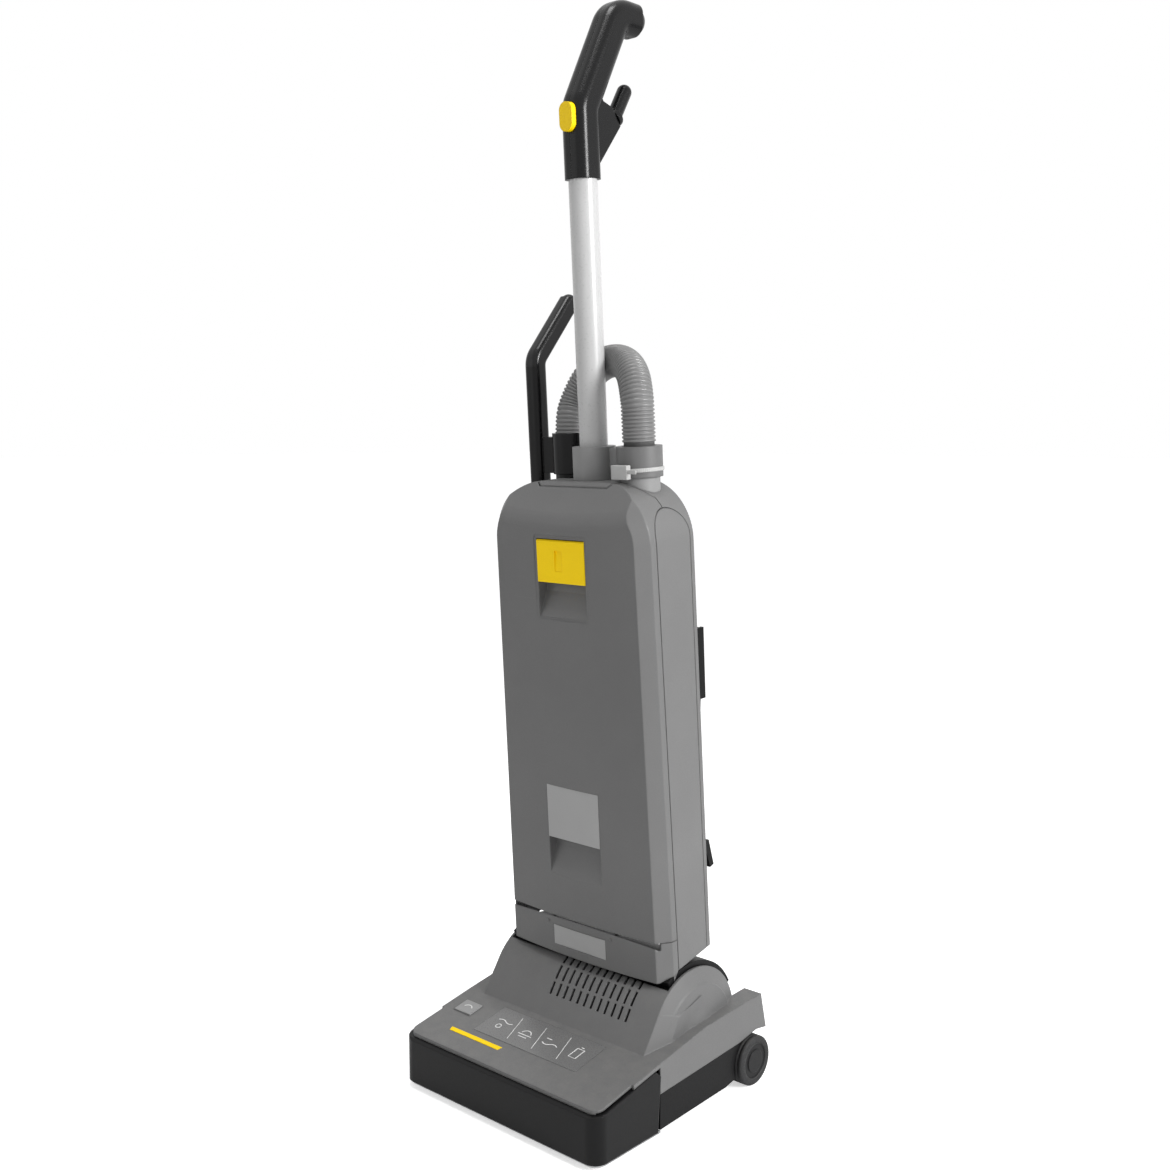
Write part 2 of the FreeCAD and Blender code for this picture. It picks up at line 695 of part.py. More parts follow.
def hinge_arms():
    """Goosenecks on the motor cover that carry the door's pins from behind."""
    arm = box(hinge_x[1] + 0.2, hinge_x[2] - 0.2, -13.5, -10.5, 36.0, hinge_u + 2.2)
    arm = arm.fuse(box(hinge_x[1] + 0.2, hinge_x[2] - 0.2, hinge_d, -10.5, hinge_u - 2.2, hinge_u + 2.2))
    arm = arm.fuse(cyl_x(2.2, hinge_x[1] + 0.2, hinge_x[2] - 0.2, hinge_d, hinge_u))
    foot = box(hinge_x[1] + 0.2, hinge_x[2] - 0.2, -24.0, -10.5, 36.0, 39.0)
    pin = cyl_x(hinge_pin_radius, hinge_x[0] + 0.5, hinge_x[3] - 0.5, hinge_d, hinge_u)
    return both_sides(arm.fuse([foot, pin]).removeSplitter())


def hinge_lugs():
    """Blocks inside the foot of the door on both sides of each gooseneck."""
    low = seam_u + wall - 0.5
    block = box(hinge_x[0], hinge_x[3], -23.0, hinge_d + 2.4, low, hinge_u + 2.6)
    return both_sides(block)


def hinge_room():
    """What the door's foot leaves open for the goosenecks and their pins."""
    slot = box(hinge_x[1] - 0.1, hinge_x[2] + 0.1, hinge_d - 2.5, -7.0, seam_u - 5, hinge_u + 4)
    bore = cyl_x(hinge_pin_radius + 0.06, hinge_x[0] - 1, hinge_x[3] + 1, hinge_d, hinge_u)
    return both_sides(slot.fuse(bore))


def bag_door():
    outer = body_solid(0.0, seam_u, body_top + 1).common(parting(-0.5))
    hollow = body_solid(wall, seam_u + wall, body_top + 1)
    scoops = scoop(plate_half, plate_u[0], 47.0, 15.0).fuse(scoop(latch_half, latch_u[0], 40.0, 15.0))
    pockets = box(-plate_half - 2.5, plate_half + 2.5, -60, front_d + 18, plate_u[0] - 49,
                  plate_u[0] + 2)
    pockets = pockets.fuse(box(-latch_half - 2.5, latch_half + 2.5, -60, front_d + 18,
                               latch_u[0] - 42, latch_u[1] + 3.5))
    door = outer.cut(hollow.cut(pockets.fuse(hinge_lugs()))).cut(scoops).cut(hinge_room())
    frame = rounded_box(-latch_half - 4.0, latch_half + 4.0, -60, front_d - 0.1, latch_u[0] - 42,
                        latch_u[1] + 5.5, 5.0, "y")
    door = door.cut(frame)
    door = door.cut(box(-latch_half - gap, latch_half + gap, -60, front_d + 9, latch_u[0] - 1,
                        latch_u[1] + 1.0))
    door = door.cut(box(-plate_half - 0.1, plate_half + 0.1, -60, front_d + 3.2, *plate_u))
    return door.removeSplitter()


plate_half = 39.1
latch_half = 35.6
label_half = 39.8
label_u = (11.0, 34.7)
relief_half = 112.5


def motor_cover():
    outer = body_solid(0.0, -0.01, seam_u - 0.8).common(parting(-0.5))
    hollow = body_solid(wall, -10, seam_u + 4)
    relief = depth_prism([(-40, seam_u - 0.9), (front_line[0] - 0.6, seam_u - 0.9), (-15, seam_u - 8.6),
                          (-11.5, seam_u - 8.6), (-11.5, seam_u + 5), (-40, seam_u + 5)],
                         -relief_half, relief_half)
    cover = outer.cut(hollow).cut(relief).cut(bottom_cut())
    cover = cover.fuse(hinge_arms()).removeSplitter()
    return cover.cut(box(-label_half - 0.1, label_half + 0.1, -60, front_d + 3.6, *label_u))


def door_latch():
    """A hinged plate with a lip at its foot, a recess in its face and trunnions at its head."""
    face_d = front_d - 0.6
    plate = depth_prism([(face_d, latch_u[0]), (face_d, latch_u[1] - 1.5), (face_d + 1.5, latch_u[1]),
                         (face_d + 4.8, latch_u[1]), (face_d + 4.8, latch_u[0])], -latch_half, latch_half)
    head = cyl_x(3.0, -latch_half, latch_half, front_d + 3.5, latch_u[1] - 5)
    hook = depth_prism([(front_d + 3, latch_u[1] - 20), (front_d + 8, latch_u[1] - 20),
                        (front_d + 8, latch_u[1] - 8), (front_d + 3, latch_u[1] - 8)], -8, 8)
    mark = depth_prism([(face_d - 1, 478), (face_d + 2.2, 478), (face_d + 0.6, 455),
                        (face_d - 1, 455)], -9, 2)
    return plate.fuse([head, hook]).cut(mark).removeSplitter()


skirt_from_deg = 25.0
skirt_to_deg = 117.0
drum_to_deg = 215.0


def heading_of(deg):
    """A heading in the d-u plane, counted from the rear up."""
    return V(0, math.cos(math.radians(deg)), math.sin(math.radians(deg)))


def neck_drum():
    """The round neck under the body that turns between the cheeks."""
    y, z = pivot_d, pivot_u
    full = cyl_x(neck_radius, -neck_half, neck_half, y, z)
    skirt = cyl_x(skirt_radius, -neck_half, neck_half, y, z)
    span = skirt_radius + 20
    rear_arm = heading_of(skirt_from_deg) * span
    front_arm = heading_of(skirt_to_deg) * span
    centre = V(-neck_half, y, z)
    wedge = face_of([centre, centre + rear_arm, centre + V(0, 0, span * 1.5), centre + front_arm])
    wedge = wedge.extrude(V(2 * neck_half, 0, 0))
    a = V(-neck_half - 1, y, z) + heading_of(drum_to_deg) * 140
    b = V(-neck_half - 1, y, z) + heading_of(skirt_from_deg) * 140
    below = face_of([a, b, b + V(0, 0, -240), a + V(0, 0, -240)])
    below = below.extrude(V(2 * neck_half + 2, 0, 0))
    drum = full.fuse(skirt.common(wedge))
    hollow = cyl_x(neck_radius - 4, -neck_half + 4, neck_half - 4, y, z)
    boss = cyl_x(15.0, neck_half - 12, neck_half, y, z)
    pin = cyl_x(9.0, neck_half - 2, 132.5, y, z)
    drum = drum.cut(below).cut(hollow)
    return drum.fuse(both_sides(boss.fuse(pin))).removeSplitter()


# Body: the hose over the top, in runs that turn on tangent arcs

hose_route = [
    (66.0, 37.0, 588.0), (66.0, 37.0, 618.0), (64.5, 38.0, 644.0), (50.0, 50.0, 670.0),
    (19.0, 69.0, 683.0), (-16.0, 80.0, 682.0), (-42.0, 77.0, 665.0), (-54.0, 68.0, 638.0),
    (-54.0, 58.5, 616.0), (-54.0, 58.5, 586.0)]
hose_ribs = 63
hose_rib_depth = 1.7
hose_wall = 1.6
hose_plain_end = 7.4


def smooth_route(points):
    """Straight runs and tangent arcs: each piece as (start, end, centre, axis, angle, radius)."""
    pts = [V(*p) for p in points]
    cuts = []
    for i in range(1, len(pts) - 1):
        back = pts[i - 1] - pts[i]
        ahead = pts[i + 1] - pts[i]
        reach = 0.45 * min(back.Length, ahead.Length)
        cuts.append((pts[i] + back.normalize() * reach, pts[i] + ahead.normalize() * reach, reach))
    pieces = []
    last = pts[0]
    for i, (enter, leave, reach) in enumerate(cuts):
        pieces.append(("run", last, enter))
        way_in = (pts[i + 1] - enter).normalize()
        way_out = (leave - pts[i + 1]).normalize()
        turn = way_in.getAngle(way_out)
        radius = reach / math.tan(turn / 2)
        axis = way_in.cross(way_out).normalize()
        centre = enter + axis.cross(way_in) * radius
        print("hose radius %.0f mm" % radius)
        pieces.append(("arc", enter, centre, axis, turn, radius))
        last = leave
    pieces.append(("run", last, pts[-1]))
    return pieces


def along_route(pieces, distance):
    """Point and heading at a distance along the pieces."""
    for piece in pieces:
        if piece[0] == "run":
            length = (piece[2] - piece[1]).Length
            if distance <= length or piece is pieces[-1]:
                heading = (piece[2] - piece[1]).normalize()
                return piece[1] + heading * distance, heading
        else:
            _, enter, centre, axis, turn, radius = piece
            length = turn * radius
            if distance <= length:
                spin = FreeCAD.Rotation(axis, math.degrees(distance / radius))
                spoke = spin.multVec(enter - centre)
                return centre + spoke, axis.cross(spoke).normalize()
        distance -= length
    return None


def route_length(pieces):
    return sum((p[2] - p[1]).Length if p[0] == "run" else p[4] * p[5] for p in pieces)


def steady_circle(pieces, distance, radius):
    """A circle square to the route whose X axis keeps one steady side."""
    point, heading = along_route(pieces, distance)
    side = V(0, -1, 0) - heading * V(0, -1, 0).dot(heading)
    circle = Part.Circle(point, heading, radius)
    circle.XAxis = side.normalize()
    return Part.Wire(circle.toShape())


def joined_loft(pieces, stations, group):
    """A ruled loft through circles along the route, made in short lengths that are joined."""
    solids = []
    for first in range(0, len(stations) - 1, group):
        rings = [steady_circle(pieces, s, r) for s, r in stations[first:first + group + 1]]
        solids.append(Part.makeLoft(rings, True, True))
    return solids[0].fuse(solids[1:])


def suction_hose():
    pieces = smooth_route(hose_route)
    total = route_length(pieces)
    pitch = (total - 2 * hose_plain_end) / hose_ribs
    low = hose_radius - hose_rib_depth
    stations = [(0.0, low)]
    for i in range(hose_ribs):
        start = hose_plain_end + i * pitch
        stations += [(start + 0.05 * pitch, low), (start + 0.3 * pitch, hose_radius),
                     (start + 0.65 * pitch, hose_radius), (start + 0.9 * pitch, low)]
    stations.append((total, low))
    outer = joined_loft(pieces, stations, 50)
    steps = 40
    bore = joined_loft(pieces, [(total * i / steps, low - hose_wall) for i in range(steps + 1)], 10)
    hose = outer.cut(bore)
    print("hose length %.0f mm, volume %.0f mm3" % (total, hose.Volume))
    return hose


# Body: handle, grip and fittings

def swept_bar(points, bend, width, depth):
    """A rounded bar of steady section along flat runs with round bends, in the d-u plane."""
    pts = [V(*p) for p in points]
    edges = []
    last = pts[0]
    for i in range(1, len(pts) - 1):
        back = (pts[i - 1] - pts[i]).normalize()
        ahead = (pts[i + 1] - pts[i]).normalize()
        half_turn = (math.pi - back.getAngle(ahead)) / 2
        reach = bend * math.tan(half_turn)
        enter = pts[i] + back * reach
        leave = pts[i] + ahead * reach
        inward = (back + ahead).normalize()
        middle = pts[i] + inward * (bend / math.cos(half_turn) - bend)
        edges.append(Part.LineSegment(last, enter).toShape())
        edges.append(Part.Arc(enter, middle, leave).toShape())
        last = leave
    edges.append(Part.LineSegment(last, pts[-1]).toShape())
    spine = Part.Wire(edges)
    heading = (pts[1] - pts[0]).normalize()
    across = V(1, 0, 0)
    up = heading.cross(across)
    w, t = width / 2, depth / 2
    r = min(w, t) * 0.72
    k = r * (1 - math.sqrt(0.5))

    def at(a, b):
        return pts[0] + across * a + up * b

    section = face_of([
        at(-w, -t + r), at(-w, t - r), (at(-w + k, t - k), at(-w + r, t)), at(w - r, t),
        (at(w - k, t - k), at(w, t - r)), at(w, -t + r), (at(w - k, -t + k), at(w - r, -t)),
        at(-w + r, -t), (at(-w + k, -t + k), at(-w, -t + r))])
    return spine.makePipeShell([section.OuterWire], True, False)


grip_width = 34.0
grip_depth = 36.0
button_u = (926.5, 957.5)
hook_root = (0.0, 85.0, 943.0)
hook_tilt = 35.0
hook_spigot = 4.0


def grip_solid():
    bar = swept_bar([(0, tube_d, grip_u), (0, tube_d, 953), (0, 98, 1057), (0, 129, 1055)], 24.0,
                    grip_width, grip_depth)
    end = Part.makeSphere(16.5, V(0, 127, 1055))
    web = depth_prism([(48, 888), (54, 893), (93, 938), (80, 957), (66, 962), (60, 972), (52, 966)],
                      -9.0, 9.0)
    solid = bar.fuse([end, web])
    solid = solid.cut(cyl_z(tube_radius + 0.1, 0, tube_d, grip_u - 5, tube_top_u + 0.5))
    recess = rounded_box(-9.4, 9.4, tube_d - 40, tube_d - 7, button_u[0] - 0.4, button_u[1] + 0.4,
                         9.2, "y")
    switch_space = box(-8, 8, tube_d - 9, tube_d + 9, 934.5, 950)
    axis = hook_axis()
    bore = Part.makeCylinder(hook_spigot + 0.06, 20.0, V(*hook_root) - axis * 5.2, axis)
    return solid.cut(recess).cut(switch_space).cut(bore)


def hook_axis():
    return V(0, math.cos(math.radians(hook_tilt)), math.sin(math.radians(hook_tilt)))


def upper_hook():
    """The cord hook behind the grip: a round foot and an arm that points up and back."""
    axis = hook_axis()
    root = V(*hook_root) + axis * 5.0
    foot = Part.makeCylinder(11.0, 6.0, root, axis)
    spigot = Part.makeCylinder(hook_spigot, 12.0, root - axis * 10.0, axis)
    arm_way = V(0, math.cos(math.radians(56)), math.sin(math.radians(56)))
    start = root + axis * 3.0
    arm = Part.makeCylinder(8.5, 36.0, start, arm_way)
    tip = Part.makeSphere(8.5, start + arm_way * 36.0)
    return foot.fuse([spigot, arm, tip]).removeSplitter()


def wand_head():
    """The wand's own handle: a bent bar beside the socket that takes the hose."""
    bar = swept_bar([(-104, wand_d - 2, 505), (-104, wand_d - 2, 688), (-104, wand_d + 60, 754)], 20.0,
                    20.0, 22.0)
    bar = bar.cut(crown(-gap))
    tip = Part.makeSphere(9.8, V(-104, wand_d + 60, 754))
    socket = cyl_z(hose_radius + 3.5, wand_x, wand_d, 556, 603)
    neck = cyl_z(wand_radius + 2.5, wand_x, wand_d, 530, 556)
    bridge = box(-104, wand_x, wand_d - 7, wand_d + 7, 556, 598)
    head = bar.fuse([tip, socket, neck, bridge])
    head = head.cut(cyl_z(hose_radius + 0.05, wand_x, wand_d, 586, 610))
    return head.cut(cyl_z(wand_radius, wand_x, wand_d, 520, 584)).removeSplitter()


def tube_socket():
    """The light collar round the handle tube, bridged to the hose port beside it."""
    collar = cyl_z(24.5, 0, tube_d, body_top, 589)
    bridge = box(0, cuff_x - 10, tube_d - 2, tube_d + 20, body_top, 587)
    port = cyl_z(22.0, cuff_x, tube_d, 520, 572).cut(crown(0.0))
    cuff_room = cyl_z(26.0, cuff_x, tube_d, 556, 600).fuse(cyl_z(27.6, cuff_x, tube_d, 560, 568))
    socket = collar.fuse(bridge).cut(cuff_room).fuse(port)
    socket = socket.cut(cyl_z(tube_radius + 0.1, 0, tube_d, 500, 600))
    socket = socket.cut(cyl(screw_radius + 0.1, (-30, collar_screw[1], collar_screw[2]), (1, 0, 0), 10))
    return socket.cut(cyl_z(17.0, cuff_x, tube_d, 500, 600)).removeSplitter()


def make_body_shells():
    save_body("neck_drum", neck_drum())
    save_body("rear_housing", rear_housing())
    save_body("motor_cover", motor_cover())
    save_body("side_panel_left", side_panel(-1))
    save_body("side_panel_right", side_panel(1))
    save_body("bag_door", bag_door())
    seal = body_solid(wall + 2.4, 206, 480).cut(body_solid(wall + 5.4, 200, 490))
    seal = seal.common(door_plane(4.5)).cut(door_plane(1.5))
    save_body("door_seal", seal)
    save_body("door_latch", door_latch())
    save_body("front_plate", box(-plate_half, plate_half, front_d + 1.0, front_d + 3.0, *plate_u))
    screws = [screw((x, rear_d, u), (0, 1, 0)) for x, u in screw_places]
    screws.append(screw(collar_screw, (-1, 0, 0)))
    save_body("housing_screws", Part.makeCompound(screws))
    save_body("lower_plate", box(-label_half, label_half, front_d + 2.4, front_d + 3.5, *label_u))


vacuum_x = 27.0
vacuum_d = 34.0
fan_case_radius = 38.0
fan_blades = 9


def make_body_inside():
    bag = rounded_box(-88, 84, -8, 33, 232, 500, 14.0, "z")
    bag = bag.fuse(rounded_box(-80, 76, -2, 27, 214, 516, 12.0, "z"))
    collar = rounded_box(30, 95, 12, 62, 517, 521, 8.0, "z")
    collar = collar.cut(cyl_z(14.0, cuff_x, tube_d, 500, 530))
    save_body("filter_bag", bag)
    save_body("bag_collar", collar)
    save_body("motor_filter", rounded_box(-28, 82, -2, 52, 192.3, 204, 5.0, "z"))

    mx, md = vacuum_x, vacuum_d
    case = cyl_z(36.0, mx, md, 76, 128).fuse(cyl_z(fan_case_radius, mx, md, 128, 168))
    case = case.cut(cyl_z(33.0, mx, md, 80, 124)).cut(cyl_z(fan_case_radius - 3, mx, md, 131, 165))
    case = case.cut(cyl_z(4.06, mx, md, 70, 140)).cut(cyl_z(15.0, mx, md, 150, 175))
    save_body("vacuum_motor", case)
    disc = fan_case_radius - 6
    rotor = cyl_z(4.0, mx, md, 70, 158)
    rotor = rotor.fuse([cyl_z(23.0, mx, md, 84, 116), cyl_z(disc, mx, md, 138, 141),
                        cyl_z(disc, mx, md, 154, 157).cut(cyl_z(13.0, mx, md, 150, 160))])
    for i in range(fan_blades):
        blade = box(mx + 11, mx + disc - 1, md - 1, md + 1, 140.5, 154.5)
        blade.rotate(V(mx, md, 0), V(0, 0, 1), 360.0 / fan_blades * i)
        rotor = rotor.fuse(blade)
    save_body("fan_rotor", rotor.removeSplitter())
    mounts = tube_z(25.0, 12.0, mx, md, 48, 75.8)
    seat = tube_z(fan_case_radius, 16.0, mx, md, 168.2, 187.8)
    save_body("motor_mounts", mounts.fuse(seat))
    save_body("exhaust_filter", rounded_box(76, 111, 9, 54, 62, 170, 3.0, "z"))
    save_body("control_board", box(-112, -84, 8, 10, 70, 150))


def make_handle():
    save_body("tube_socket", tube_socket())
    cuff = cyl_z(25.5, cuff_x, tube_d, 556.5, 590).cut(cyl_z(22.2, cuff_x, tube_d, 550, 573))
    cuff = cuff.cut(cyl_z(hose_radius + 0.05, cuff_x, tube_d, 587.99, 600))
    save_body("hose_cuff", cuff.cut(cyl_z(16.6, cuff_x, tube_d, 550, 600)))
    tie = tube_z(27.2, 25.6, cuff_x, tube_d, 562, 566)
    head = rounded_box(cuff_x - 13, cuff_x + 10, tube_d - 34, tube_d - 26.4, 555, 571, 1.5, "y")
    save_body("cable_tie", tie.fuse(head).cut(cyl_z(25.6, cuff_x, tube_d, 500, 600)))
    save_body("suction_hose", suction_hose())
    save_body("wand_head", wand_head())
    save_body("wand_tube", tube_z(wand_radius, wand_radius - 2, wand_x, wand_d, 58, 583.5))
    save_body("handle_tube", tube_z(tube_radius, tube_radius - 1.8, 0, tube_d, 530, tube_top_u))

    grip = grip_solid()
    cut_x = 0.12
    save_body("grip_left", grip.cut(box(-cut_x, 200, -60, 300, 800, 1200)))
    save_body("grip_right", grip.cut(box(-200, cut_x, -60, 300, 800, 1200)))
    button = rounded_box(-9.0, 9.0, tube_d - 24, tube_d - 12.5, button_u[0], button_u[1], 8.9, "y")
    save_body("power_button", button)
    save_body("power_switch", box(-7, 7, tube_d - 6.5, tube_d + 8, 935.5, 949))
    save_body("upper_cord_hook", upper_hook())

    plate = rounded_box(74, 100, rear_d, rear_d + 5, 92, 150, 4.0, "y")
    arm = depth_prism([(rear_d + 4, 132), (rear_d + 26, 128), (rear_d + 34, 96), (rear_d + 27, 94),
                       (rear_d + 20, 116), (rear_d + 4, 118)], 80, 94)
    save_body("lower_cord_hook", plate.fuse(arm).removeSplitter())
    clip = rounded_box(66, 100, rear_d, rear_d + 4, 292, 390, 4.0, "y")
    for x in (66, 96):
        clip = clip.fuse(box(x, x + 4, rear_d, rear_d + 20, 300, 382))
    save_body("tool_clip", clip.removeSplitter())
    rings = []
    for u, back in ((210, 9.0), (380, 24.0)):
        d0, d1 = rear_d + 4.5, rear_d + back
        rings.append(Part.makePolygon([V(70.5, d0, u), V(95.5, d0, u), V(95.5, d1, u), V(70.5, d1, u),
                                       V(70.5, d0, u)]))
    save_body("crevice_tool", Part.makeLoft(rings, True, True))
    gland = cyl(7.0, (60, rear_d, 40), (0, 1, 0), 12.0)
    gland = gland.cut(cyl(4.0, (60, rear_d - 1, 40), (0, 1, 0), 20))
    save_body("cord_gland", gland)


os.makedirs("parts", exist_ok=True)
make_base()
make_body_shells()
make_body_inside()
make_handle()
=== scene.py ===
import bpy
import bmesh
import math
import random
from mathutils import Matrix, Vector, noise


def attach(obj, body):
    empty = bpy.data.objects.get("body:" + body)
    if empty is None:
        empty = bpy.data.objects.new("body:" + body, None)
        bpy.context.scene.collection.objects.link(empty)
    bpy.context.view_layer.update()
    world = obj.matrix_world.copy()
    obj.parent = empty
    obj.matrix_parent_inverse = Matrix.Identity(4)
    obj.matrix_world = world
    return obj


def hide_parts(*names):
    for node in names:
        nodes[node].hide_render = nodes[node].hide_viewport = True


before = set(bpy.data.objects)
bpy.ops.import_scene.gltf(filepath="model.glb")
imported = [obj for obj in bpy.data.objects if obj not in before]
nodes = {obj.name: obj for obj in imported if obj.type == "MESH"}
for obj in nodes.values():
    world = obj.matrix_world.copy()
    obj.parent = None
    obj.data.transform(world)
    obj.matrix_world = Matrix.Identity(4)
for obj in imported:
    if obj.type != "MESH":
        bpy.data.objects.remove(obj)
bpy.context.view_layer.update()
scene = bpy.context.scene
print("frame loaded:", len(nodes), "nodes")

# the body has its own upright frame: x, d to the rear, u up, all in metres
parked = {"lean": 3.64, "y": 0.0132, "z": 0.1498}
leanBack = Matrix.Rotation(math.radians(parked["lean"]), 4, "X")
bodyFrame = Matrix.Translation((0, parked["y"], parked["z"])) @ leanBack


def onBody(x, d, u):
    return bodyFrame @ Vector((x, d, u))


# camera

viewpoint = {"place": (1.02231, -1.13448, 0.75432), "turn": 42.08, "down": 6.35, "lens": 41.945,
             "sensor": 36, "nearest": 0.05}


def setCamera(v):
    turn, down = math.radians(v["turn"]), math.radians(v["down"])
    look = Vector((-math.sin(turn) * math.cos(down), math.cos(turn) * math.cos(down), -math.sin(down)))
    cam = bpy.data.cameras.new("camera")
    cam.lens = v["lens"]
    cam.sensor_width = v["sensor"]
    cam.clip_start = v["nearest"]
    holder = bpy.data.objects.new("camera", cam)
    holder.location = v["place"]
    holder.rotation_euler = look.to_track_quat("-Z", "Y").to_euler()
    scene.collection.objects.link(holder)
    scene.camera = holder


setCamera(viewpoint)
print("camera set")


# small mesh helpers

def finishMesh(name, mesh, bm, smooth=True):
    bm.to_mesh(mesh)
    bm.free()
    for p in mesh.polygons:
        p.use_smooth = smooth
    obj = bpy.data.objects.new(name, mesh)
    scene.collection.objects.link(obj)
    return obj


def addMesh(name, verts, faces, smooth=True):
    mesh = bpy.data.meshes.new(name)
    mesh.from_pydata([tuple(v) for v in verts], [], faces)
    mesh.validate()
    bm = bmesh.new()
    bm.from_mesh(mesh)
    bmesh.ops.recalc_face_normals(bm, faces=bm.faces)
    return finishMesh(name, mesh, bm, smooth)


def place(obj, body, material, replaced=()):
    obj.data.materials.clear()
    obj.data.materials.append(material)
    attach(obj, body)
    if replaced:
        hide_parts(*replaced)


def ringFaces(first, second, count):
    faces = []
    for i in range(count):
        after = (i + 1) % count
        faces.append((first + i, first + after, second + after, second + i))
    return faces


def turned(name, profile, centre, steps):
    # profile is a closed run of (along x, radius), swept round the axis
    verts, faces = [], []
    for x, r in profile:
        for i in range(steps):
            a = 2 * math.pi * i / steps
            verts.append((centre[0] + x, centre[1] + r * math.cos(a), centre[2] + r * math.sin(a)))
    for i in range(len(profile) - 1):
        faces += ringFaces(i * steps, (i + 1) * steps, steps)
    return addMesh(name, verts, faces)


def softBlock(name, low, high, bevel, segments, matrix):
    bm = bmesh.new()
    bmesh.ops.create_cube(bm, size=1)
    size = [high[i] - low[i] for i in range(3)]
    for v in bm.verts:
        v.co = Vector([low[i] + (v.co[i] + 0.5) * size[i] for i in range(3)])
    bmesh.ops.bevel(bm, geom=bm.edges[:], offset=bevel, segments=segments, affect="EDGES", profile=0.6)
    bmesh.ops.transform(bm, matrix=matrix, verts=bm.verts)
    return finishMesh(name, bpy.data.meshes.new(name), bm)


# the hose comes first: the same route as in the solids, on one smooth spline

hoseSettings = {
    "route": [(0.066, 0.037, 0.588), (0.066, 0.037, 0.618), (0.0645, 0.038, 0.644), (0.050, 0.050, 0.670),
              (0.019, 0.069, 0.683), (-0.016, 0.080, 0.682), (-0.042, 0.077, 0.665),
              (-0.054, 0.068, 0.638), (-0.054, 0.0585, 0.616), (-0.054, 0.0585, 0.586)],
    "radius": 0.0185, "ribs": 64, "ribDepth": 0.0016, "bore": 0.0152, "plainEnd": 0.006, "sides": 64,
    "crest": 0.78, "round": 0.55, "steps": (0.0, 0.08, 0.2, 0.39, 0.58, 0.7, 0.78, 0.9), "boreRings": 60,
}


def splineLine(name, points, resolution=40):
    curve = bpy.data.curves.new(name, "CURVE")
    curve.dimensions = "3D"
    spline = curve.splines.new("NURBS")
    spline.points.add(len(points) - 1)
    for p, co in zip(spline.points, points):
        p.co = (*co, 1)
    spline.order_u = 3
    spline.use_endpoint_u = True
    spline.resolution_u = resolution
    obj = bpy.data.objects.new(name, curve)
    scene.collection.objects.link(obj)
    bpy.context.view_layer.update()
    line = bpy.data.meshes.new_from_object(obj)
    walked = [v.co.copy() for v in line.vertices]
    bpy.data.meshes.remove(line)
    bpy.data.objects.remove(obj)
    bpy.data.curves.remove(curve)
    return walked


def lineLength(points):
    return sum((b - a).length for a, b in zip(points, points[1:]))


def walkLine(points, distance):
    for a, b in zip(points, points[1:]):
        step = (b - a).length
        if distance <= step or b is points[-1]:
            return a.lerp(b, distance / step if step else 0), (b - a).normalized()
        distance -= step


def ribHeight(t, s):
    # one rib: a round crest with a narrow groove beside it
    if t >= s["crest"]:
        return 0.0
    return math.sin(math.pi * t / s["crest"]) ** s["round"]


def ribbedHose(s):
    line = splineLine("hoseLine", [onBody(*p) for p in s["route"]])
    total = lineLength(line)
    low = s["radius"] - s["ribDepth"]
    pitch = (total - 2 * s["plainEnd"]) / s["ribs"]
    stations = [(0.0, low)]
    for i in range(s["ribs"]):
        for t in s["steps"]:
            stations.append((s["plainEnd"] + (i + t) * pitch, low + s["ribDepth"] * ribHeight(t, s)))
    stations.append((total, low))
    verts, faces = [], []
    n = s["sides"]
    ahead = Vector((0, -1, 0))

    def ring(distance, radius):
        centre, way = walkLine(line, distance)
        side = (ahead - way * ahead.dot(way)).normalized()
        other = way.cross(side)
        for k in range(n):
            a = 2 * math.pi * k / n
            verts.append(centre + side * radius * math.cos(a) + other * radius * math.sin(a))

    for distance, radius in stations:
        ring(distance, radius)
    outer = len(stations)
    inner = s["boreRings"]
    for i in range(inner + 1):
        ring(total * (1 - i / inner), s["bore"])
    for i in range(outer + inner):
        faces += ringFaces(i * n, (i + 1) * n, n)
    faces += ringFaces((outer + inner) * n, 0, n)
    return addMesh("hoseSkin", verts, faces), line, total


hosePiece, hoseLine, hoseLength = ribbedHose(hoseSettings)
print("hose made, %.3f m" % hoseLength)


# shared shader groups

def hexColour(code):
    out = []
    for i in (0, 2, 4):
        v = int(code[i:i + 2], 16) / 255
        out.append(v / 12.92 if v <= 0.04045 else ((v + 0.055) / 1.055) ** 2.4)
    return (*out, 1)


number = "NodeSocketFloat"


def startGroup(name, inputs, outputs):
    group = bpy.data.node_groups.new(name, "ShaderNodeTree")
    for label, kind, value in inputs:
        socket = group.interface.new_socket(name=label, in_out="INPUT", socket_type=kind)
        if value is not None:
            socket.default_value = value
    for label, kind in outputs:
        group.interface.new_socket(name=label, in_out="OUTPUT", socket_type=kind)
    return group, group.nodes.new("NodeGroupInput"), group.nodes.new("NodeGroupOutput")


def addMath(tree, kind, a, b=None, clamp=False):
    node = tree.nodes.new("ShaderNodeMath")
    node.operation = kind
    node.use_clamp = clamp
    for socket, value in zip(node.inputs, (a, b)):
        if value is None:
            continue
        if isinstance(value, (int, float)):
            socket.default_value = value
        else:
            tree.links.new(value, socket)
    return node.outputs[0]


def addRange(tree, value, low, high, outLow=0.0, outHigh=1.0):
    node = tree.nodes.new("ShaderNodeMapRange")
    node.clamp = True
    tree.links.new(value, node.inputs["Value"])
    for label, limit in (("From Min", low), ("From Max", high), ("To Min", outLow), ("To Max", outHigh)):
        node.inputs[label].default_value = limit
    return node.outputs["Result"]


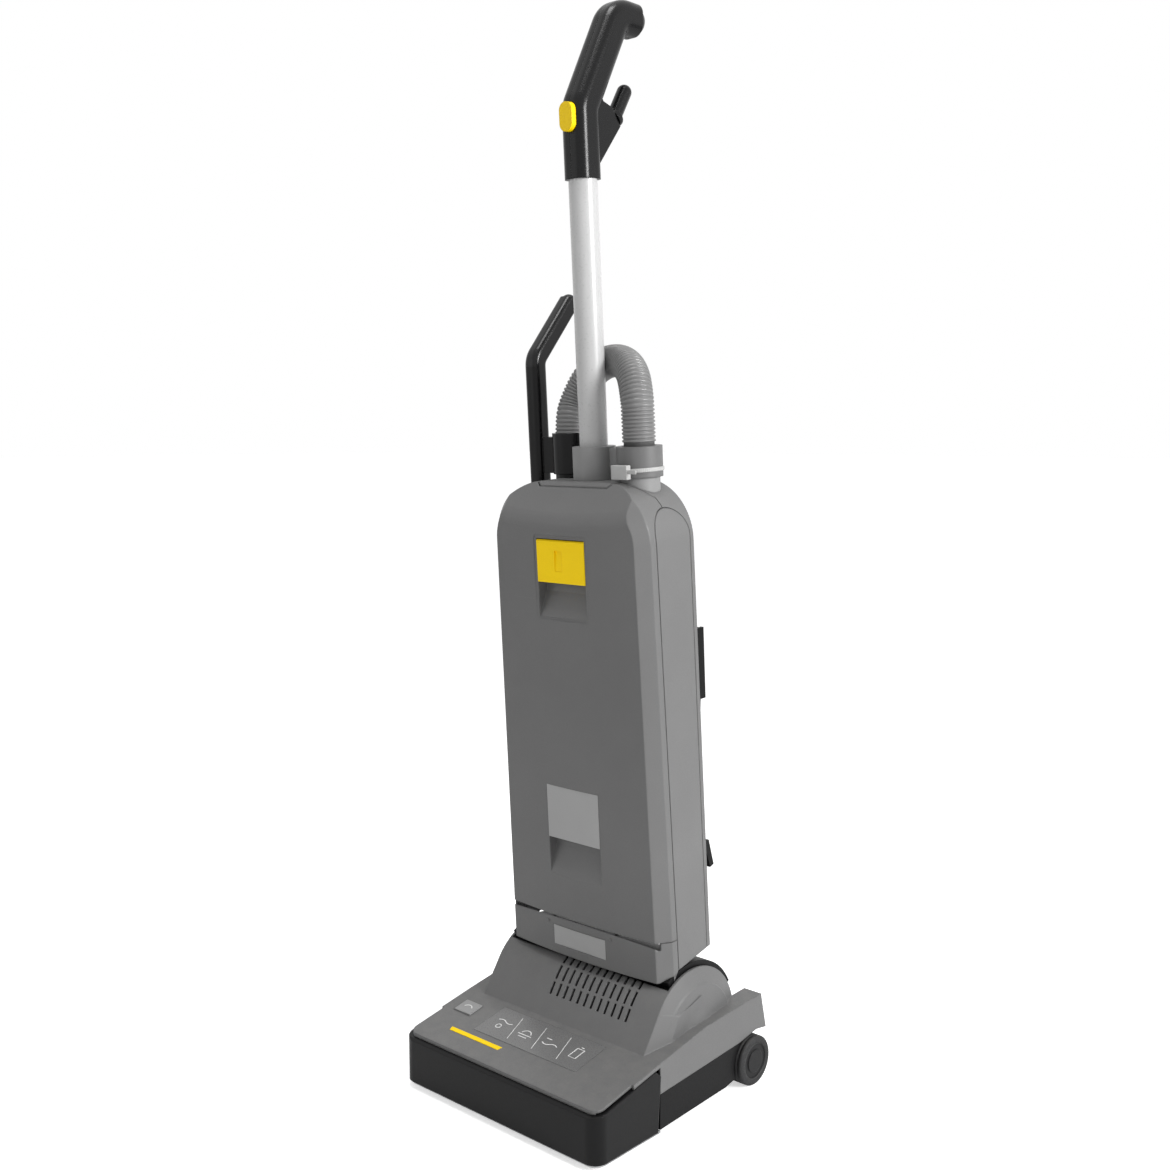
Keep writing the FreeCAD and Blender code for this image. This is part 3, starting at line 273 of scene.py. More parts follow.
def addNoise(tree, vector, scale, detail=3.0, rough=0.5):
    node = tree.nodes.new("ShaderNodeTexNoise")
    tree.links.new(vector, node.inputs["Vector"])
    if isinstance(scale, (int, float)):
        node.inputs["Scale"].default_value = scale
    else:
        tree.links.new(scale, node.inputs["Scale"])
    node.inputs["Detail"].default_value = detail
    node.inputs["Roughness"].default_value = rough
    return node.outputs["Fac"]


def objectPoint(tree):
    return tree.nodes.new("ShaderNodeTexCoord").outputs["Object"]


def addStretch(tree, vector, scale):
    node = tree.nodes.new("ShaderNodeMapping")
    tree.links.new(vector, node.inputs["Vector"])
    node.inputs["Scale"].default_value = scale
    return node.outputs["Vector"]


grainLook = {"fineScale": 0.55, "cells": 0.6, "slow": 9.0, "slowBand": (0.3, 0.7), "fineBand": (0.35, 0.65)}


def makeGrainGroup(s):
    # spark-eroded mould grain with slow tone changes; sizes are per metre
    g, gi, go = startGroup("mouldGrain", [("Grain Size", number, 1400.0)],
                           [("Height", number), ("Tone", number), ("Fine", number)])
    here = objectPoint(g)
    cells = g.nodes.new("ShaderNodeTexVoronoi")
    g.links.new(here, cells.inputs["Vector"])
    g.links.new(gi.outputs["Grain Size"], cells.inputs["Scale"])
    fine = addNoise(g, here, addMath(g, "MULTIPLY", gi.outputs["Grain Size"], s["fineScale"]), 2.0)
    height = addMath(g, "ADD", addMath(g, "MULTIPLY", cells.outputs["Distance"], s["cells"]), fine)
    g.links.new(height, go.inputs["Height"])
    g.links.new(addRange(g, addNoise(g, here, s["slow"]), *s["slowBand"]), go.inputs["Tone"])
    g.links.new(addRange(g, fine, *s["fineBand"]), go.inputs["Fine"])
    return g


edgeLook = {"samples": 4, "band": (0.995, 0.80), "patches": (45.0, 4.0, 0.6), "patchBand": (0.42, 0.68)}


def makeEdgeGroup(s):
    # softens the shading of hard edges and gives a patchy mask along them, used for wear such as rubs and
    # chips and for painted highlights along edges
    g, gi, go = startGroup("edgeWearAndHighlight", [("Width", number, 0.0007), ("Amount", number, 0.5)],
                           [("Mask", number), ("Normal", "NodeSocketVector")])
    rounded = g.nodes.new("ShaderNodeBevel")
    rounded.samples = s["samples"]
    g.links.new(gi.outputs["Width"], rounded.inputs["Radius"])
    flat = g.nodes.new("ShaderNodeNewGeometry").outputs["Normal"]
    dot = g.nodes.new("ShaderNodeVectorMath")
    dot.operation = "DOT_PRODUCT"
    g.links.new(rounded.outputs["Normal"], dot.inputs[0])
    g.links.new(flat, dot.inputs[1])
    edge = addRange(g, dot.outputs["Value"], *s["band"])
    patchy = addRange(g, addNoise(g, objectPoint(g), *s["patches"]), *s["patchBand"])
    mask = addMath(g, "MULTIPLY", addMath(g, "MULTIPLY", edge, patchy), gi.outputs["Amount"], True)
    g.links.new(mask, go.inputs["Mask"])
    g.links.new(rounded.outputs["Normal"], go.inputs["Normal"])
    return g


dustLook = {"upBand": (0.35, 0.98), "patches": (70.0, 5.0, 0.7), "patchBand": (0.35, 0.75)}


def makeDustGroup(s):
    # thin dust on faces that look up
    g, gi, go = startGroup("thinDust", [("Amount", number, 0.2)], [("Mask", number)])
    parts = g.nodes.new("ShaderNodeSeparateXYZ")
    g.links.new(g.nodes.new("ShaderNodeNewGeometry").outputs["Normal"], parts.inputs[0])
    up = addRange(g, parts.outputs["Z"], *s["upBand"])
    patchy = addRange(g, addNoise(g, objectPoint(g), *s["patches"]), *s["patchBand"])
    mask = addMath(g, "MULTIPLY", addMath(g, "MULTIPLY", up, patchy), gi.outputs["Amount"], True)
    g.links.new(mask, go.inputs["Mask"])
    return g


scuffLook = {"stretch": (14, 40, 900), "lineBand": (0.64, 0.70), "patches": (14.0, 2.0),
             "patchBand": (0.52, 0.66)}


def makeScuffGroup(s):
    # faint thin rubs that run mostly sideways
    g, gi, go = startGroup("thinScuffs", [("Amount", number, 0.3)], [("Mask", number)])
    here = objectPoint(g)
    lines = addNoise(g, addStretch(g, here, s["stretch"]), 1.0, 2.0)
    where = addRange(g, addNoise(g, here, *s["patches"]), *s["patchBand"])
    mask = addMath(g, "MULTIPLY", addRange(g, lines, *s["lineBand"]), where)
    g.links.new(addMath(g, "MULTIPLY", mask, gi.outputs["Amount"], True), go.inputs["Mask"])
    return g


brushedLook = {"stretch": (30, 2400, 2400), "band": (0.3, 0.7)}


def makeBrushedGroup(s):
    # fine lines left by grinding or drawing, along X
    g, gi, go = startGroup("drawnLines", [("Fine", number, 1.0)], [("Height", number), ("Tone", number)])
    lines = addNoise(g, addStretch(g, objectPoint(g), s["stretch"]), gi.outputs["Fine"])
    g.links.new(lines, go.inputs["Height"])
    g.links.new(addRange(g, lines, *s["band"]), go.inputs["Tone"])
    return g


grainGroup = makeGrainGroup(grainLook)
edgeGroup = makeEdgeGroup(edgeLook)
dustGroup = makeDustGroup(dustLook)
scuffGroup = makeScuffGroup(scuffLook)
brushedGroup = makeBrushedGroup(brushedLook)


def useGroup(tree, group, **values):
    node = tree.nodes.new("ShaderNodeGroup")
    node.node_tree = group
    for label, value in values.items():
        node.inputs[label.replace("_", " ")].default_value = value
    return node.outputs


def mixColour(tree, fac, a, b):
    node = tree.nodes.new("ShaderNodeMix")
    node.data_type = "RGBA"
    tree.links.new(fac, node.inputs["Factor"])
    for socket, value in ((node.inputs[6], a), (node.inputs[7], b)):
        if isinstance(value, tuple):
            socket.default_value = value
        else:
            tree.links.new(value, socket)
    return node.outputs[2]


def newMaterial(name):
    mat = bpy.data.materials.new(name)
    mat.use_nodes = True
    tree = mat.node_tree
    shader = tree.nodes["Principled BSDF"]
    return mat, tree, shader


def addRelief(tree, shader, height, strength, distance, normal=None):
    relief = tree.nodes.new("ShaderNodeBump")
    relief.inputs["Strength"].default_value = strength
    relief.inputs["Distance"].default_value = distance
    tree.links.new(height, relief.inputs["Height"])
    if normal is not None:
        tree.links.new(normal, relief.inputs["Normal"])
    tree.links.new(relief.outputs["Normal"], shader.inputs["Normal"])


def shade(colour, by):
    return (*[min(1.0, c * by) for c in colour[:3]], 1)


# moulded plastics: how every one of them ages, with painted highlight on its edges, and then each by its own
# colour and gloss

plasticAgeAndHighlight = {"fineShare": 0.25, "fineDark": 0.86, "rubAndHighlightTone": 1.7, "scuffLight": 1.45, "dust": "a8a49c",
               "smoother": 0.05, "rougher": 0.07, "edgeShine": 0.12, "index": 1.5, "coatRough": 0.25,
               "depth": 0.0002}


def moulded(name, colour, rough=0.5, grain=1400.0, bump=0.12, tone=0.05, edge=0.35, edgeWidth=0.0007,
            dust=0.05, scuff=0.2, coat=0.0, specular=0.5):
    w = plasticAgeAndHighlight
    mat, tree, shader = newMaterial(name)
    base = hexColour(colour)
    grainOut = useGroup(tree, grainGroup, Grain_Size=grain)
    edgeOut = useGroup(tree, edgeGroup, Width=edgeWidth, Amount=edge)
    scuffOut = useGroup(tree, scuffGroup, Amount=scuff)
    dustOut = useGroup(tree, dustGroup, Amount=dust)
    body = mixColour(tree, grainOut["Tone"], shade(base, 1 - tone), shade(base, 1 + tone))
    fine = addMath(tree, "MULTIPLY", grainOut["Fine"], w["fineShare"])
    body = mixColour(tree, fine, body, shade(base, w["fineDark"]))
    # edges lighter: partly rubbed wear, partly painted highlight along the edges
    body = mixColour(tree, edgeOut["Mask"], body, shade(base, w["rubAndHighlightTone"]))
    body = mixColour(tree, scuffOut["Mask"], body, shade(base, w["scuffLight"]))
    body = mixColour(tree, dustOut["Mask"], body, hexColour(w["dust"]))
    tree.links.new(body, shader.inputs["Base Color"])
    uneven = addRange(tree, grainOut["Fine"], 0.0, 1.0, rough - w["smoother"], rough + w["rougher"])
    shine = addMath(tree, "MULTIPLY", edgeOut["Mask"], w["edgeShine"])
    tree.links.new(addMath(tree, "SUBTRACT", uneven, shine), shader.inputs["Roughness"])
    addRelief(tree, shader, grainOut["Height"], bump, w["depth"], edgeOut["Normal"])
    shader.inputs["IOR"].default_value = w["index"]
    shader.inputs["Specular IOR Level"].default_value = specular
    shader.inputs["Coat Weight"].default_value = coat
    shader.inputs["Coat Roughness"].default_value = w["coatRough"]
    return mat


# settings shared by the grey shells, by the socket and its cuff, and by the blacks of the handle

shell = {"grain": 1500, "bump": 0.10, "edge": 0.2, "edgeWidth": 0.0024, "scuff": 0.12, "specular": 0.4}
collar = {"grain": 1500, "bump": 0.1, "edge": 0.2, "edgeWidth": 0.0016, "specular": 0.4}
polished = {"edge": 0.05, "edgeWidth": 0.0015, "dust": 0.01, "scuff": 0.05}

doorGrey = moulded("doorGrey", "666666", rough=0.42, **shell)
housingGrey = moulded("housingGrey", "686868", rough=0.44, **shell)
coverGrey = moulded("coverGrey", "646464", rough=0.44, grain=1400, bump=0.12, edge=0.25, edgeWidth=0.0022,
                    dust=0.1, scuff=0.15, specular=0.4)
baseBlack = moulded("baseBlack", "0b0b0c", rough=0.42, grain=1300, bump=0.14, edge=0.08, dust=0.02,
                    scuff=0.08, specular=0.16)
bumperBlack = moulded("bumperBlack", "0b0b0c", rough=0.34, grain=1100, bump=0.10, edge=0.1,
                      edgeWidth=0.0022, dust=0.01, scuff=0.1, specular=0.2)
wandBlack = moulded("wandBlack", "09090a", rough=0.2, grain=1700, bump=0.06, specular=0.32, **polished)
gripBlack = moulded("gripBlack", "0b0b0c", rough=0.24, grain=1200, bump=0.10, specular=0.26, **polished)
latchYellow = moulded("latchYellow", "fbd400", rough=0.45, grain=1500, bump=0.08, tone=0.02, edge=0.0,
                      edgeWidth=0.0009, dust=0.0, scuff=0.08, specular=0.2)
buttonYellow = moulded("buttonYellow", "f2cc00", rough=0.38, grain=1200, bump=0.10, tone=0.02, edge=0.05,
                       edgeWidth=0.0016, dust=0.0, specular=0.3)
plateGrey = moulded("plateGrey", "9c9c9c", rough=0.34, grain=2200, bump=0.05, edge=0.15, scuff=0.3)
panelGrey = moulded("panelGrey", "686868", rough=0.3, grain=2200, bump=0.04, edge=0.1, scuff=0.15, coat=0.15)
buttonGrey = moulded("buttonGrey", "8c8c8c", rough=0.42, grain=1500, bump=0.08, edge=0.2, edgeWidth=0.0016)
signWhite = moulded("signWhite", "dededd", rough=0.5, grain=2500, bump=0.03, tone=0.02, edge=0.0, scuff=0.2)
socketGrey = moulded("socketGrey", "848484", rough=0.46, **collar)
cuffGrey = moulded("cuffGrey", "636363", rough=0.42, **collar)
tieNylon = moulded("tieNylon", "a9a9a8", rough=0.4, grain=2500, bump=0.05, edge=0.15, edgeWidth=0.0004)
wandGrey = moulded("wandGrey", "4b4b4d", rough=0.42, grain=1600, bump=0.08)
hubBlack = moulded("hubBlack", "151516", rough=0.4, grain=1300, bump=0.1, edge=0.2, edgeWidth=0.0012,
                   dust=0.03, scuff=0.1, specular=0.2)
boardGreen = moulded("boardGreen", "2f5b3a", rough=0.4, grain=900, bump=0.1, edge=0.0)


# hose, rubber, tube enamel, metals, fleece and beech

hoseLook = {"colour": "6f6f6f", "grain": 1800.0, "dust": 0.15, "tones": (0.92, 1.05), "dustTone": "b5b1a8",
            "rough": (0.34, 0.48), "bump": 0.08, "depth": 0.0002, "coat": 0.1}


def hoseFinish(s):
    mat, tree, shader = newMaterial("hoseGrey")
    base = hexColour(s["colour"])
    dark, light = s["tones"]
    grainOut = useGroup(tree, grainGroup, Grain_Size=s["grain"])
    dustOut = useGroup(tree, dustGroup, Amount=s["dust"])
    body = mixColour(tree, grainOut["Tone"], shade(base, dark), shade(base, light))
    body = mixColour(tree, dustOut["Mask"], body, hexColour(s["dustTone"]))
    tree.links.new(body, shader.inputs["Base Color"])
    tree.links.new(addRange(tree, grainOut["Fine"], 0, 1, *s["rough"]), shader.inputs["Roughness"])
    addRelief(tree, shader, grainOut["Height"], s["bump"], s["depth"])
    shader.inputs["Coat Weight"].default_value = s["coat"]
    return mat


rubberAgeAndHighlight = {"edgeWidth": 0.0008, "edge": 0.5, "tones": (0.85, 1.18), "rubAndHighlightTone": 1.6, "dustTone": "8b877e",
              "smoother": 0.06, "rougher": 0.1, "depth": 0.0003}


def rubber(name, colour, grain=900.0, bump=0.3, rough=0.68, dust=0.25):
    w = rubberAgeAndHighlight
    mat, tree, shader = newMaterial(name)
    base = hexColour(colour)
    dark, light = w["tones"]
    grainOut = useGroup(tree, grainGroup, Grain_Size=grain)
    edgeOut = useGroup(tree, edgeGroup, Width=w["edgeWidth"], Amount=w["edge"])
    dustOut = useGroup(tree, dustGroup, Amount=dust)
    body = mixColour(tree, grainOut["Tone"], shade(base, dark), shade(base, light))
    # rubber edges lighter: partly rubbed wear, partly painted highlight along the edges
    body = mixColour(tree, edgeOut["Mask"], body, shade(base, w["rubAndHighlightTone"]))
    body = mixColour(tree, dustOut["Mask"], body, hexColour(w["dustTone"]))
    tree.links.new(body, shader.inputs["Base Color"])
    uneven = addRange(tree, grainOut["Fine"], 0, 1, rough - w["smoother"], rough + w["rougher"])
    tree.links.new(uneven, shader.inputs["Roughness"])
    addRelief(tree, shader, grainOut["Height"], bump, w["depth"], edgeOut["Normal"])
    return mat


tubeLook = {"colour": "b3b3b3", "peel": 380.0, "slow": 6.0, "band": (0.3, 0.7), "tones": (0.97, 1.03),
            "scuff": 0.3, "scuffDark": 0.75, "edgeWidth": 0.0006, "edge": 0.3, "bare": "6f6f72",
            "rough": (0.26, 0.34), "bump": 0.06, "depth": 0.0003, "coat": 0.3, "coatRough": 0.12}


def enamelTube(s):
    mat, tree, shader = newMaterial("tubeEnamel")
    base = hexColour(s["colour"])
    dark, light = s["tones"]
    here = objectPoint(tree)
    peel = addNoise(tree, here, s["peel"], 2.0)
    edgeOut = useGroup(tree, edgeGroup, Width=s["edgeWidth"], Amount=s["edge"])
    scuffOut = useGroup(tree, scuffGroup, Amount=s["scuff"])
    slow = addRange(tree, addNoise(tree, here, s["slow"], 2.0), *s["band"])
    body = mixColour(tree, slow, shade(base, dark), shade(base, light))
    body = mixColour(tree, scuffOut["Mask"], body, shade(base, s["scuffDark"]))
    body = mixColour(tree, edgeOut["Mask"], body, hexColour(s["bare"]))
    tree.links.new(body, shader.inputs["Base Color"])
    tree.links.new(addRange(tree, peel, *s["band"], *s["rough"]), shader.inputs["Roughness"])
    addRelief(tree, shader, peel, s["bump"], s["depth"], edgeOut["Normal"])
    shader.inputs["Coat Weight"].default_value = s["coat"]
    shader.inputs["Coat Roughness"].default_value = s["coatRough"]
    return mat


metalAgeAndHighlight = {"edgeWidth": 0.0005, "edge": 0.5, "stains": (60.0, 4.0), "stainBand": (0.5, 0.75, 0.0, 0.35),
             "tones": (0.9, 1.08), "rubAndHighlightTone": 1.25, "smoother": 0.06, "rougher": 0.1, "depth": 0.0001}


def metal(name, colour, rough=0.3, lines=1.0, bump=0.12, tarnish="6a6a66"):
    w = metalAgeAndHighlight
    mat, tree, shader = newMaterial(name)
    base = hexColour(colour)
    dark, light = w["tones"]
    lineOut = useGroup(tree, brushedGroup, Fine=lines)
    edgeOut = useGroup(tree, edgeGroup, Width=w["edgeWidth"], Amount=w["edge"])
    stain = addRange(tree, addNoise(tree, objectPoint(tree), *w["stains"]), *w["stainBand"])
    body = mixColour(tree, lineOut["Tone"], shade(base, dark), shade(base, light))
    body = mixColour(tree, stain, body, hexColour(tarnish))
    # metal edges lighter: partly rubbed wear, partly painted highlight along the edges
    body = mixColour(tree, edgeOut["Mask"], body, shade(base, w["rubAndHighlightTone"]))
    tree.links.new(body, shader.inputs["Base Color"])
    shader.inputs["Metallic"].default_value = 1.0
    uneven = addRange(tree, lineOut["Tone"], 0, 1, rough - w["smoother"], rough + w["rougher"])
    tree.links.new(uneven, shader.inputs["Roughness"])
    addRelief(tree, shader, lineOut["Height"], bump, w["depth"], edgeOut["Normal"])
    return mat


fleeceLook = {"along": (1, 1, 0.25), "across": (0.25, 1, 1), "fibres": (3.0, 0.6), "slow": 25.0,
              "slowBand": (0.3, 0.7),
              "hairBand": (0.45, 0.7), "tones": (0.93, 1.03), "gap": 0.8, "rough": (0.85, 0.95), "bump": 0.4,
              "depth": 0.0005, "sheen": 0.3}


def fleece(name, colour, fibre=1500.0):
    s = fleeceLook
    mat, tree, shader = newMaterial(name)
    base = hexColour(colour)
    dark, light = s["tones"]
    here = objectPoint(tree)
    along = addNoise(tree, addStretch(tree, here, s["along"]), fibre, *s["fibres"])
    across = addNoise(tree, addStretch(tree, here, s["across"]), fibre, *s["fibres"])
    hair = addMath(tree, "MAXIMUM", along, across)
    slow = addRange(tree, addNoise(tree, here, s["slow"]), *s["slowBand"])
    body = mixColour(tree, slow, shade(base, dark), shade(base, light))
    body = mixColour(tree, addRange(tree, hair, *s["hairBand"]), shade(base, s["gap"]), body)
    tree.links.new(body, shader.inputs["Base Color"])
    tree.links.new(addRange(tree, hair, *s["slowBand"], *s["rough"]), shader.inputs["Roughness"])
    addRelief(tree, shader, hair, s["bump"], s["depth"])
    shader.inputs["Sheen Weight"].default_value = s["sheen"]
    return mat


beechLook = {"rings": (12, 260, 260), "flecks": (160, 1600, 1600), "ringBand": (0.35, 0.65),
             "early": "9a7347", "late": "6d4b2a", "fleckBand": (0.6, 0.7, 0.0, 0.6), "fleckTone": "4b331c",
             "roughBand": (0.3, 0.7, 0.45, 0.6), "bump": 0.2, "depth": 0.0002}


def beech(s):
    mat, tree, shader = newMaterial("brushBeech")
    here = objectPoint(tree)
    rings = addNoise(tree, addStretch(tree, here, s["rings"]), 1.0, 4.0)
    flecks = addNoise(tree, addStretch(tree, here, s["flecks"]), 1.0, 2.0)
    body = mixColour(tree, addRange(tree, rings, *s["ringBand"]), hexColour(s["late"]), hexColour(s["early"]))
    body = mixColour(tree, addRange(tree, flecks, *s["fleckBand"]), body, hexColour(s["fleckTone"]))
    tree.links.new(body, shader.inputs["Base Color"])
    tree.links.new(addRange(tree, flecks, *s["roughBand"]), shader.inputs["Roughness"])
    addRelief(tree, shader, flecks, s["bump"], s["depth"])
    return mat


hoseGrey = hoseFinish(hoseLook)
tyreRubber = rubber("tyreRubber", "1a1a1b", dust=0.12)
rollerRubber = rubber("rollerRubber", "303031", grain=1200)
beltRubber = rubber("beltRubber", "1c1c1c", dust=0.05)
sealFoam = rubber("sealFoam", "3a3a3a", grain=700, bump=0.5, rough=0.85)
tubeEnamel = enamelTube(tubeLook)
steel = metal("groundSteel", "a9a9ab")
zincSteel = metal("zincSteel", "9b9c9b", rough=0.4, bump=0.06)
sheetAluminium = metal("sheetAluminium", "b9babb", rough=0.36, lines=0.6)
bronze = metal("sinteredBronze", "a87f45", rough=0.42, lines=2.0, tarnish="5b4426")
bristleNylon = moulded("bristleNylon", "1d1d1e", rough=0.35, grain=3000, bump=0.03, edge=0.0, scuff=0.0)
brushBeech = beech(beechLook)
bagFleece = fleece("bagFleece", "d9d1c1")
filterFleece = fleece("filterFleece", "dededa", fibre=1100.0)

finishes = {
    "base_cover": coverGrey, "front_bumper": bumperBlack, "chassis": baseBlack,
    "sole_plate": sheetAluminium, "brush_core": brushBeech, "brush_bristles": bristleNylon,
    "brush_bearings": steel, "brush_pulley": hubBlack, "brush_motor": zincSteel, "motor_rotor": steel,
    "motor_pulley": steel, "drive_belt": beltRubber, "rear_hub_left": hubBlack,
    "rear_hub_right": hubBlack, "rear_tyre_left": tyreRubber, "rear_tyre_right": tyreRubber,
    "front_roller_left": rollerRubber, "front_roller_right": rollerRubber, "wheel_axles": steel,
    "roller_pins": steel, "suction_duct": baseBlack, "release_button": buttonGrey,
    "release_spring": steel, "instruction_panel": panelGrey, "pivot_bushes": bronze,
    "neck_drum": baseBlack, "rear_housing": housingGrey, "motor_cover": doorGrey,
    "side_panel_left": housingGrey, "side_panel_right": housingGrey, "bag_door": doorGrey,
    "door_seal": sealFoam, "door_latch": latchYellow, "front_plate": plateGrey,
    "lower_plate": plateGrey, "filter_bag": bagFleece, "bag_collar": socketGrey,
    "motor_filter": filterFleece, "vacuum_motor": zincSteel, "fan_rotor": sheetAluminium,
    "motor_mounts": sealFoam, "exhaust_filter": filterFleece, "control_board": boardGreen,
    "tube_socket": socketGrey, "hose_cuff": cuffGrey, "cable_tie": tieNylon, "suction_hose": hoseGrey,
    "wand_head": wandBlack, "wand_tube": wandGrey, "handle_tube": tubeEnamel, "grip_left": gripBlack,
    "grip_right": gripBlack, "power_button": buttonYellow, "power_switch": baseBlack,
    "upper_cord_hook": gripBlack, "lower_cord_hook": baseBlack, "tool_clip": baseBlack,
    "crevice_tool": wandGrey, "cord_gland": baseBlack, "housing_screws": steel,
}
for name, obj in nodes.items():
    obj.data.materials.clear()
    obj.data.materials.append(finishes[name])
place(hosePiece, "body", hoseGrey, ["suction_hose"])
print("materials set:", len(bpy.data.materials))


# wheel tyres with their running grooves

tyreSettings = {"radius": 0.029, "inner": 0.020, "width": 0.023, "outerX": 0.1548, "y": 0.122, "grooves": 3,
                "grooveDepth": 0.0012, "grooveWidth": 0.0016, "shoulder": 0.003, "roundSteps": 6,
                "sides": 128,
                "groove": ((-1.0, 0), (-0.6, 0.7), (-0.3, 1), (0.3, 1), (0.6, 0.7), (1.0, 0))}


def grooveTyre(name, side, s):
    x0 = s["outerX"] - s["width"]
    profile = [(x0, s["inner"]), (x0, s["radius"] - 2 * s["shoulder"])]
    for i in range(s["roundSteps"] + 1):
        a = math.pi / 2 * i / s["roundSteps"]
        inward, down = 1 - math.cos(a), 1 - math.sin(a)
        profile.append((x0 + s["shoulder"] * inward, s["radius"] - s["shoulder"] * down))
    rounded = len(profile)
    first = x0 + s["shoulder"]
    run = s["width"] - 2 * s["shoulder"]
    for i in range(s["grooves"]):
        mid = first + run * (i + 0.5) / s["grooves"]
        for off, drop in s["groove"]:
            profile.append((mid + off * s["grooveWidth"] / 2, s["radius"] - drop * s["grooveDepth"]))
    profile += [(2 * x0 + s["width"] - x, r) for x, r in reversed(profile[:rounded])]
    profile.append(profile[0])
    return turned(name, [(side * x, r) for x, r in profile], (0, s["y"], s["radius"]), s["sides"])


for side, word in ((-1, "left"), (1, "right")):
    tyre = grooveTyre("tyre_" + word, side, tyreSettings)
    place(tyre, "wheel_" + word, tyreRubber, ["rear_tyre_" + word])
print("tyres made")


# brush bristles: every tuft is a spray of fine nylon hairs

bristleSettings = {"rows": 24, "turns": 1.5, "half": 0.122, "core": 0.015, "tip": 0.026, "y": -0.108,
                   "z": 0.031, "hairs": 34, "hairRadius": 0.00022, "spread": 0.0024, "seed": 11,
                   "leftEnd": 0.010, "bothEnds": 0.032, "sunk": 0.0015, "narrow": 0.75, "uneven": 0.0008,
                   "splay": 0.07}


def brushHairs(s):
    rng = random.Random(s["seed"])
    verts, faces = [], []
    for start in (0.0, math.pi):
        for row in range(s["rows"]):
            x = -s["half"] + s["leftEnd"] + row * (2 * s["half"] - s["bothEnds"]) / (s["rows"] - 1)
            angle = start + s["turns"] * 2 * math.pi * row / (s["rows"] - 1)
            out = Vector((0, math.cos(angle), math.sin(angle)))
            across = Vector((0, -math.sin(angle), math.cos(angle)))
            for _ in range(s["hairs"]):
                a, r = rng.uniform(0, 2 * math.pi), s["spread"] * math.sqrt(rng.random())
                off = Vector((1, 0, 0)) * r * math.cos(a) + across * r * math.sin(a)
                foot = Vector((x, s["y"], s["z"])) + out * (s["core"] - s["sunk"]) + off * s["narrow"]
                reach = s["tip"] - s["core"] + s["sunk"] - rng.uniform(0, s["uneven"])
                way = (out + off.normalized() * rng.uniform(0, s["splay"])).normalized()
                head = foot + way * reach
                u, v = way.orthogonal().normalized(), way.cross(way.orthogonal()).normalized()
                n = len(verts)
                for centre in (foot, head):
                    for k in range(3):
                        t = 2 * math.pi * k / 3
                        verts.append(centre + (u * math.cos(t) + v * math.sin(t)) * s["hairRadius"])
                faces += ringFaces(n, n + 3, 3) + [(n, n + 1, n + 2), (n + 3, n + 4, n + 5)]
    return addMesh("brushHairs", verts, faces)


place(brushHairs(bristleSettings), "brush", bristleNylon, ["brush_bristles"])
print("bristles made")


# nylon tie round the hose cuff: toothed strap, head with its slot, and the cut tail

tieSettings = {"x": 0.066, "d": 0.0369, "u": 0.564, "radius": 0.0256, "thick": 0.0014, "high": 0.0044,
               "tilt": 0.0012, "tooth": 0.00016, "steps": 160,
               "section": ((0.0, -0.5), (0.0, 0.5), (0.7, 0.5), (1.0, 0.36), (1.0, -0.36), (0.7, -0.5)),
               "head": ((0.053, 0.0030, 0.5555), (0.0755, 0.0104, 0.5710), 0.0014, 4),
               "tail": ((0.0745, 0.0036, 0.5618), (0.0875, 0.0050, 0.5662), 0.0005, 2)}


def strapBand(s):
    verts, faces = [], []
    for i in range(s["steps"]):
        a = 2 * math.pi * i / s["steps"]
        lift = s["tilt"] * math.cos(a)
        for t, w in s["section"]:
            tooth = s["tooth"] if i % 2 and t > 0 else 0.0
            r = s["radius"] + t * s["thick"] - tooth
            height = s["u"] + lift + w * s["high"]
            verts.append(onBody(s["x"] + r * math.cos(a), s["d"] + r * math.sin(a), height))
    k = len(s["section"])
    for i in range(s["steps"]):
        faces += ringFaces(i * k, ((i + 1) % s["steps"]) * k, k)
    return addMesh("tieStrap", verts, faces, smooth=False)


strap = strapBand(tieSettings)
place(strap, "body", tieNylon, ["cable_tie"])
tieHead = softBlock("tieHead", *tieSettings["head"], bodyFrame)
place(tieHead, "body", tieNylon)
tieTail = softBlock("tieTail", *tieSettings["tail"], bodyFrame)
place(tieTail, "body", tieNylon)
print("tie made")


# yellow mark on the deck

deckSettings = {"first": (0.0054, 0.065), "second": (0.107, 0.0845), "back": 0.151,
                "mark": ((-0.104, -0.026), (0.031, 0.037)), "markHigh": 0.0004, "markSunk": 0.0006,
                "slant": 0.002}


def deckPoint(x, back, lift):
    (s0, z0), (s1, z1) = deckSettings["first"], deckSettings["second"]
    rise = (z1 - z0) / (s1 - s0)
    up = Vector((0, -rise, 1)).normalized()
    return Vector((x, back - deckSettings["back"], z0 + (back - s0) * rise)) + up * lift


def yellowMark(s):
    (left, right), (front, rear) = s["mark"]
    outline = [(left, front), (right, front), (right + s["slant"], rear), (left - s["slant"], rear)]
    n = len(outline)
    verts = []
    for level in (-s["markSunk"], s["markHigh"]):
        verts += [deckPoint(x, back, level) for x, back in outline]
    faces = [tuple(range(n)), tuple(range(2 * n - 1, n - 1, -1))] + ringFaces(0, n, n)
    return addMesh("deckMark", verts, faces, smooth=False)


place(yellowMark(deckSettings), "base", latchYellow)
print("yellow mark made")


# four plain picture signs with slanted dividers on the panel, and one sign on the release button

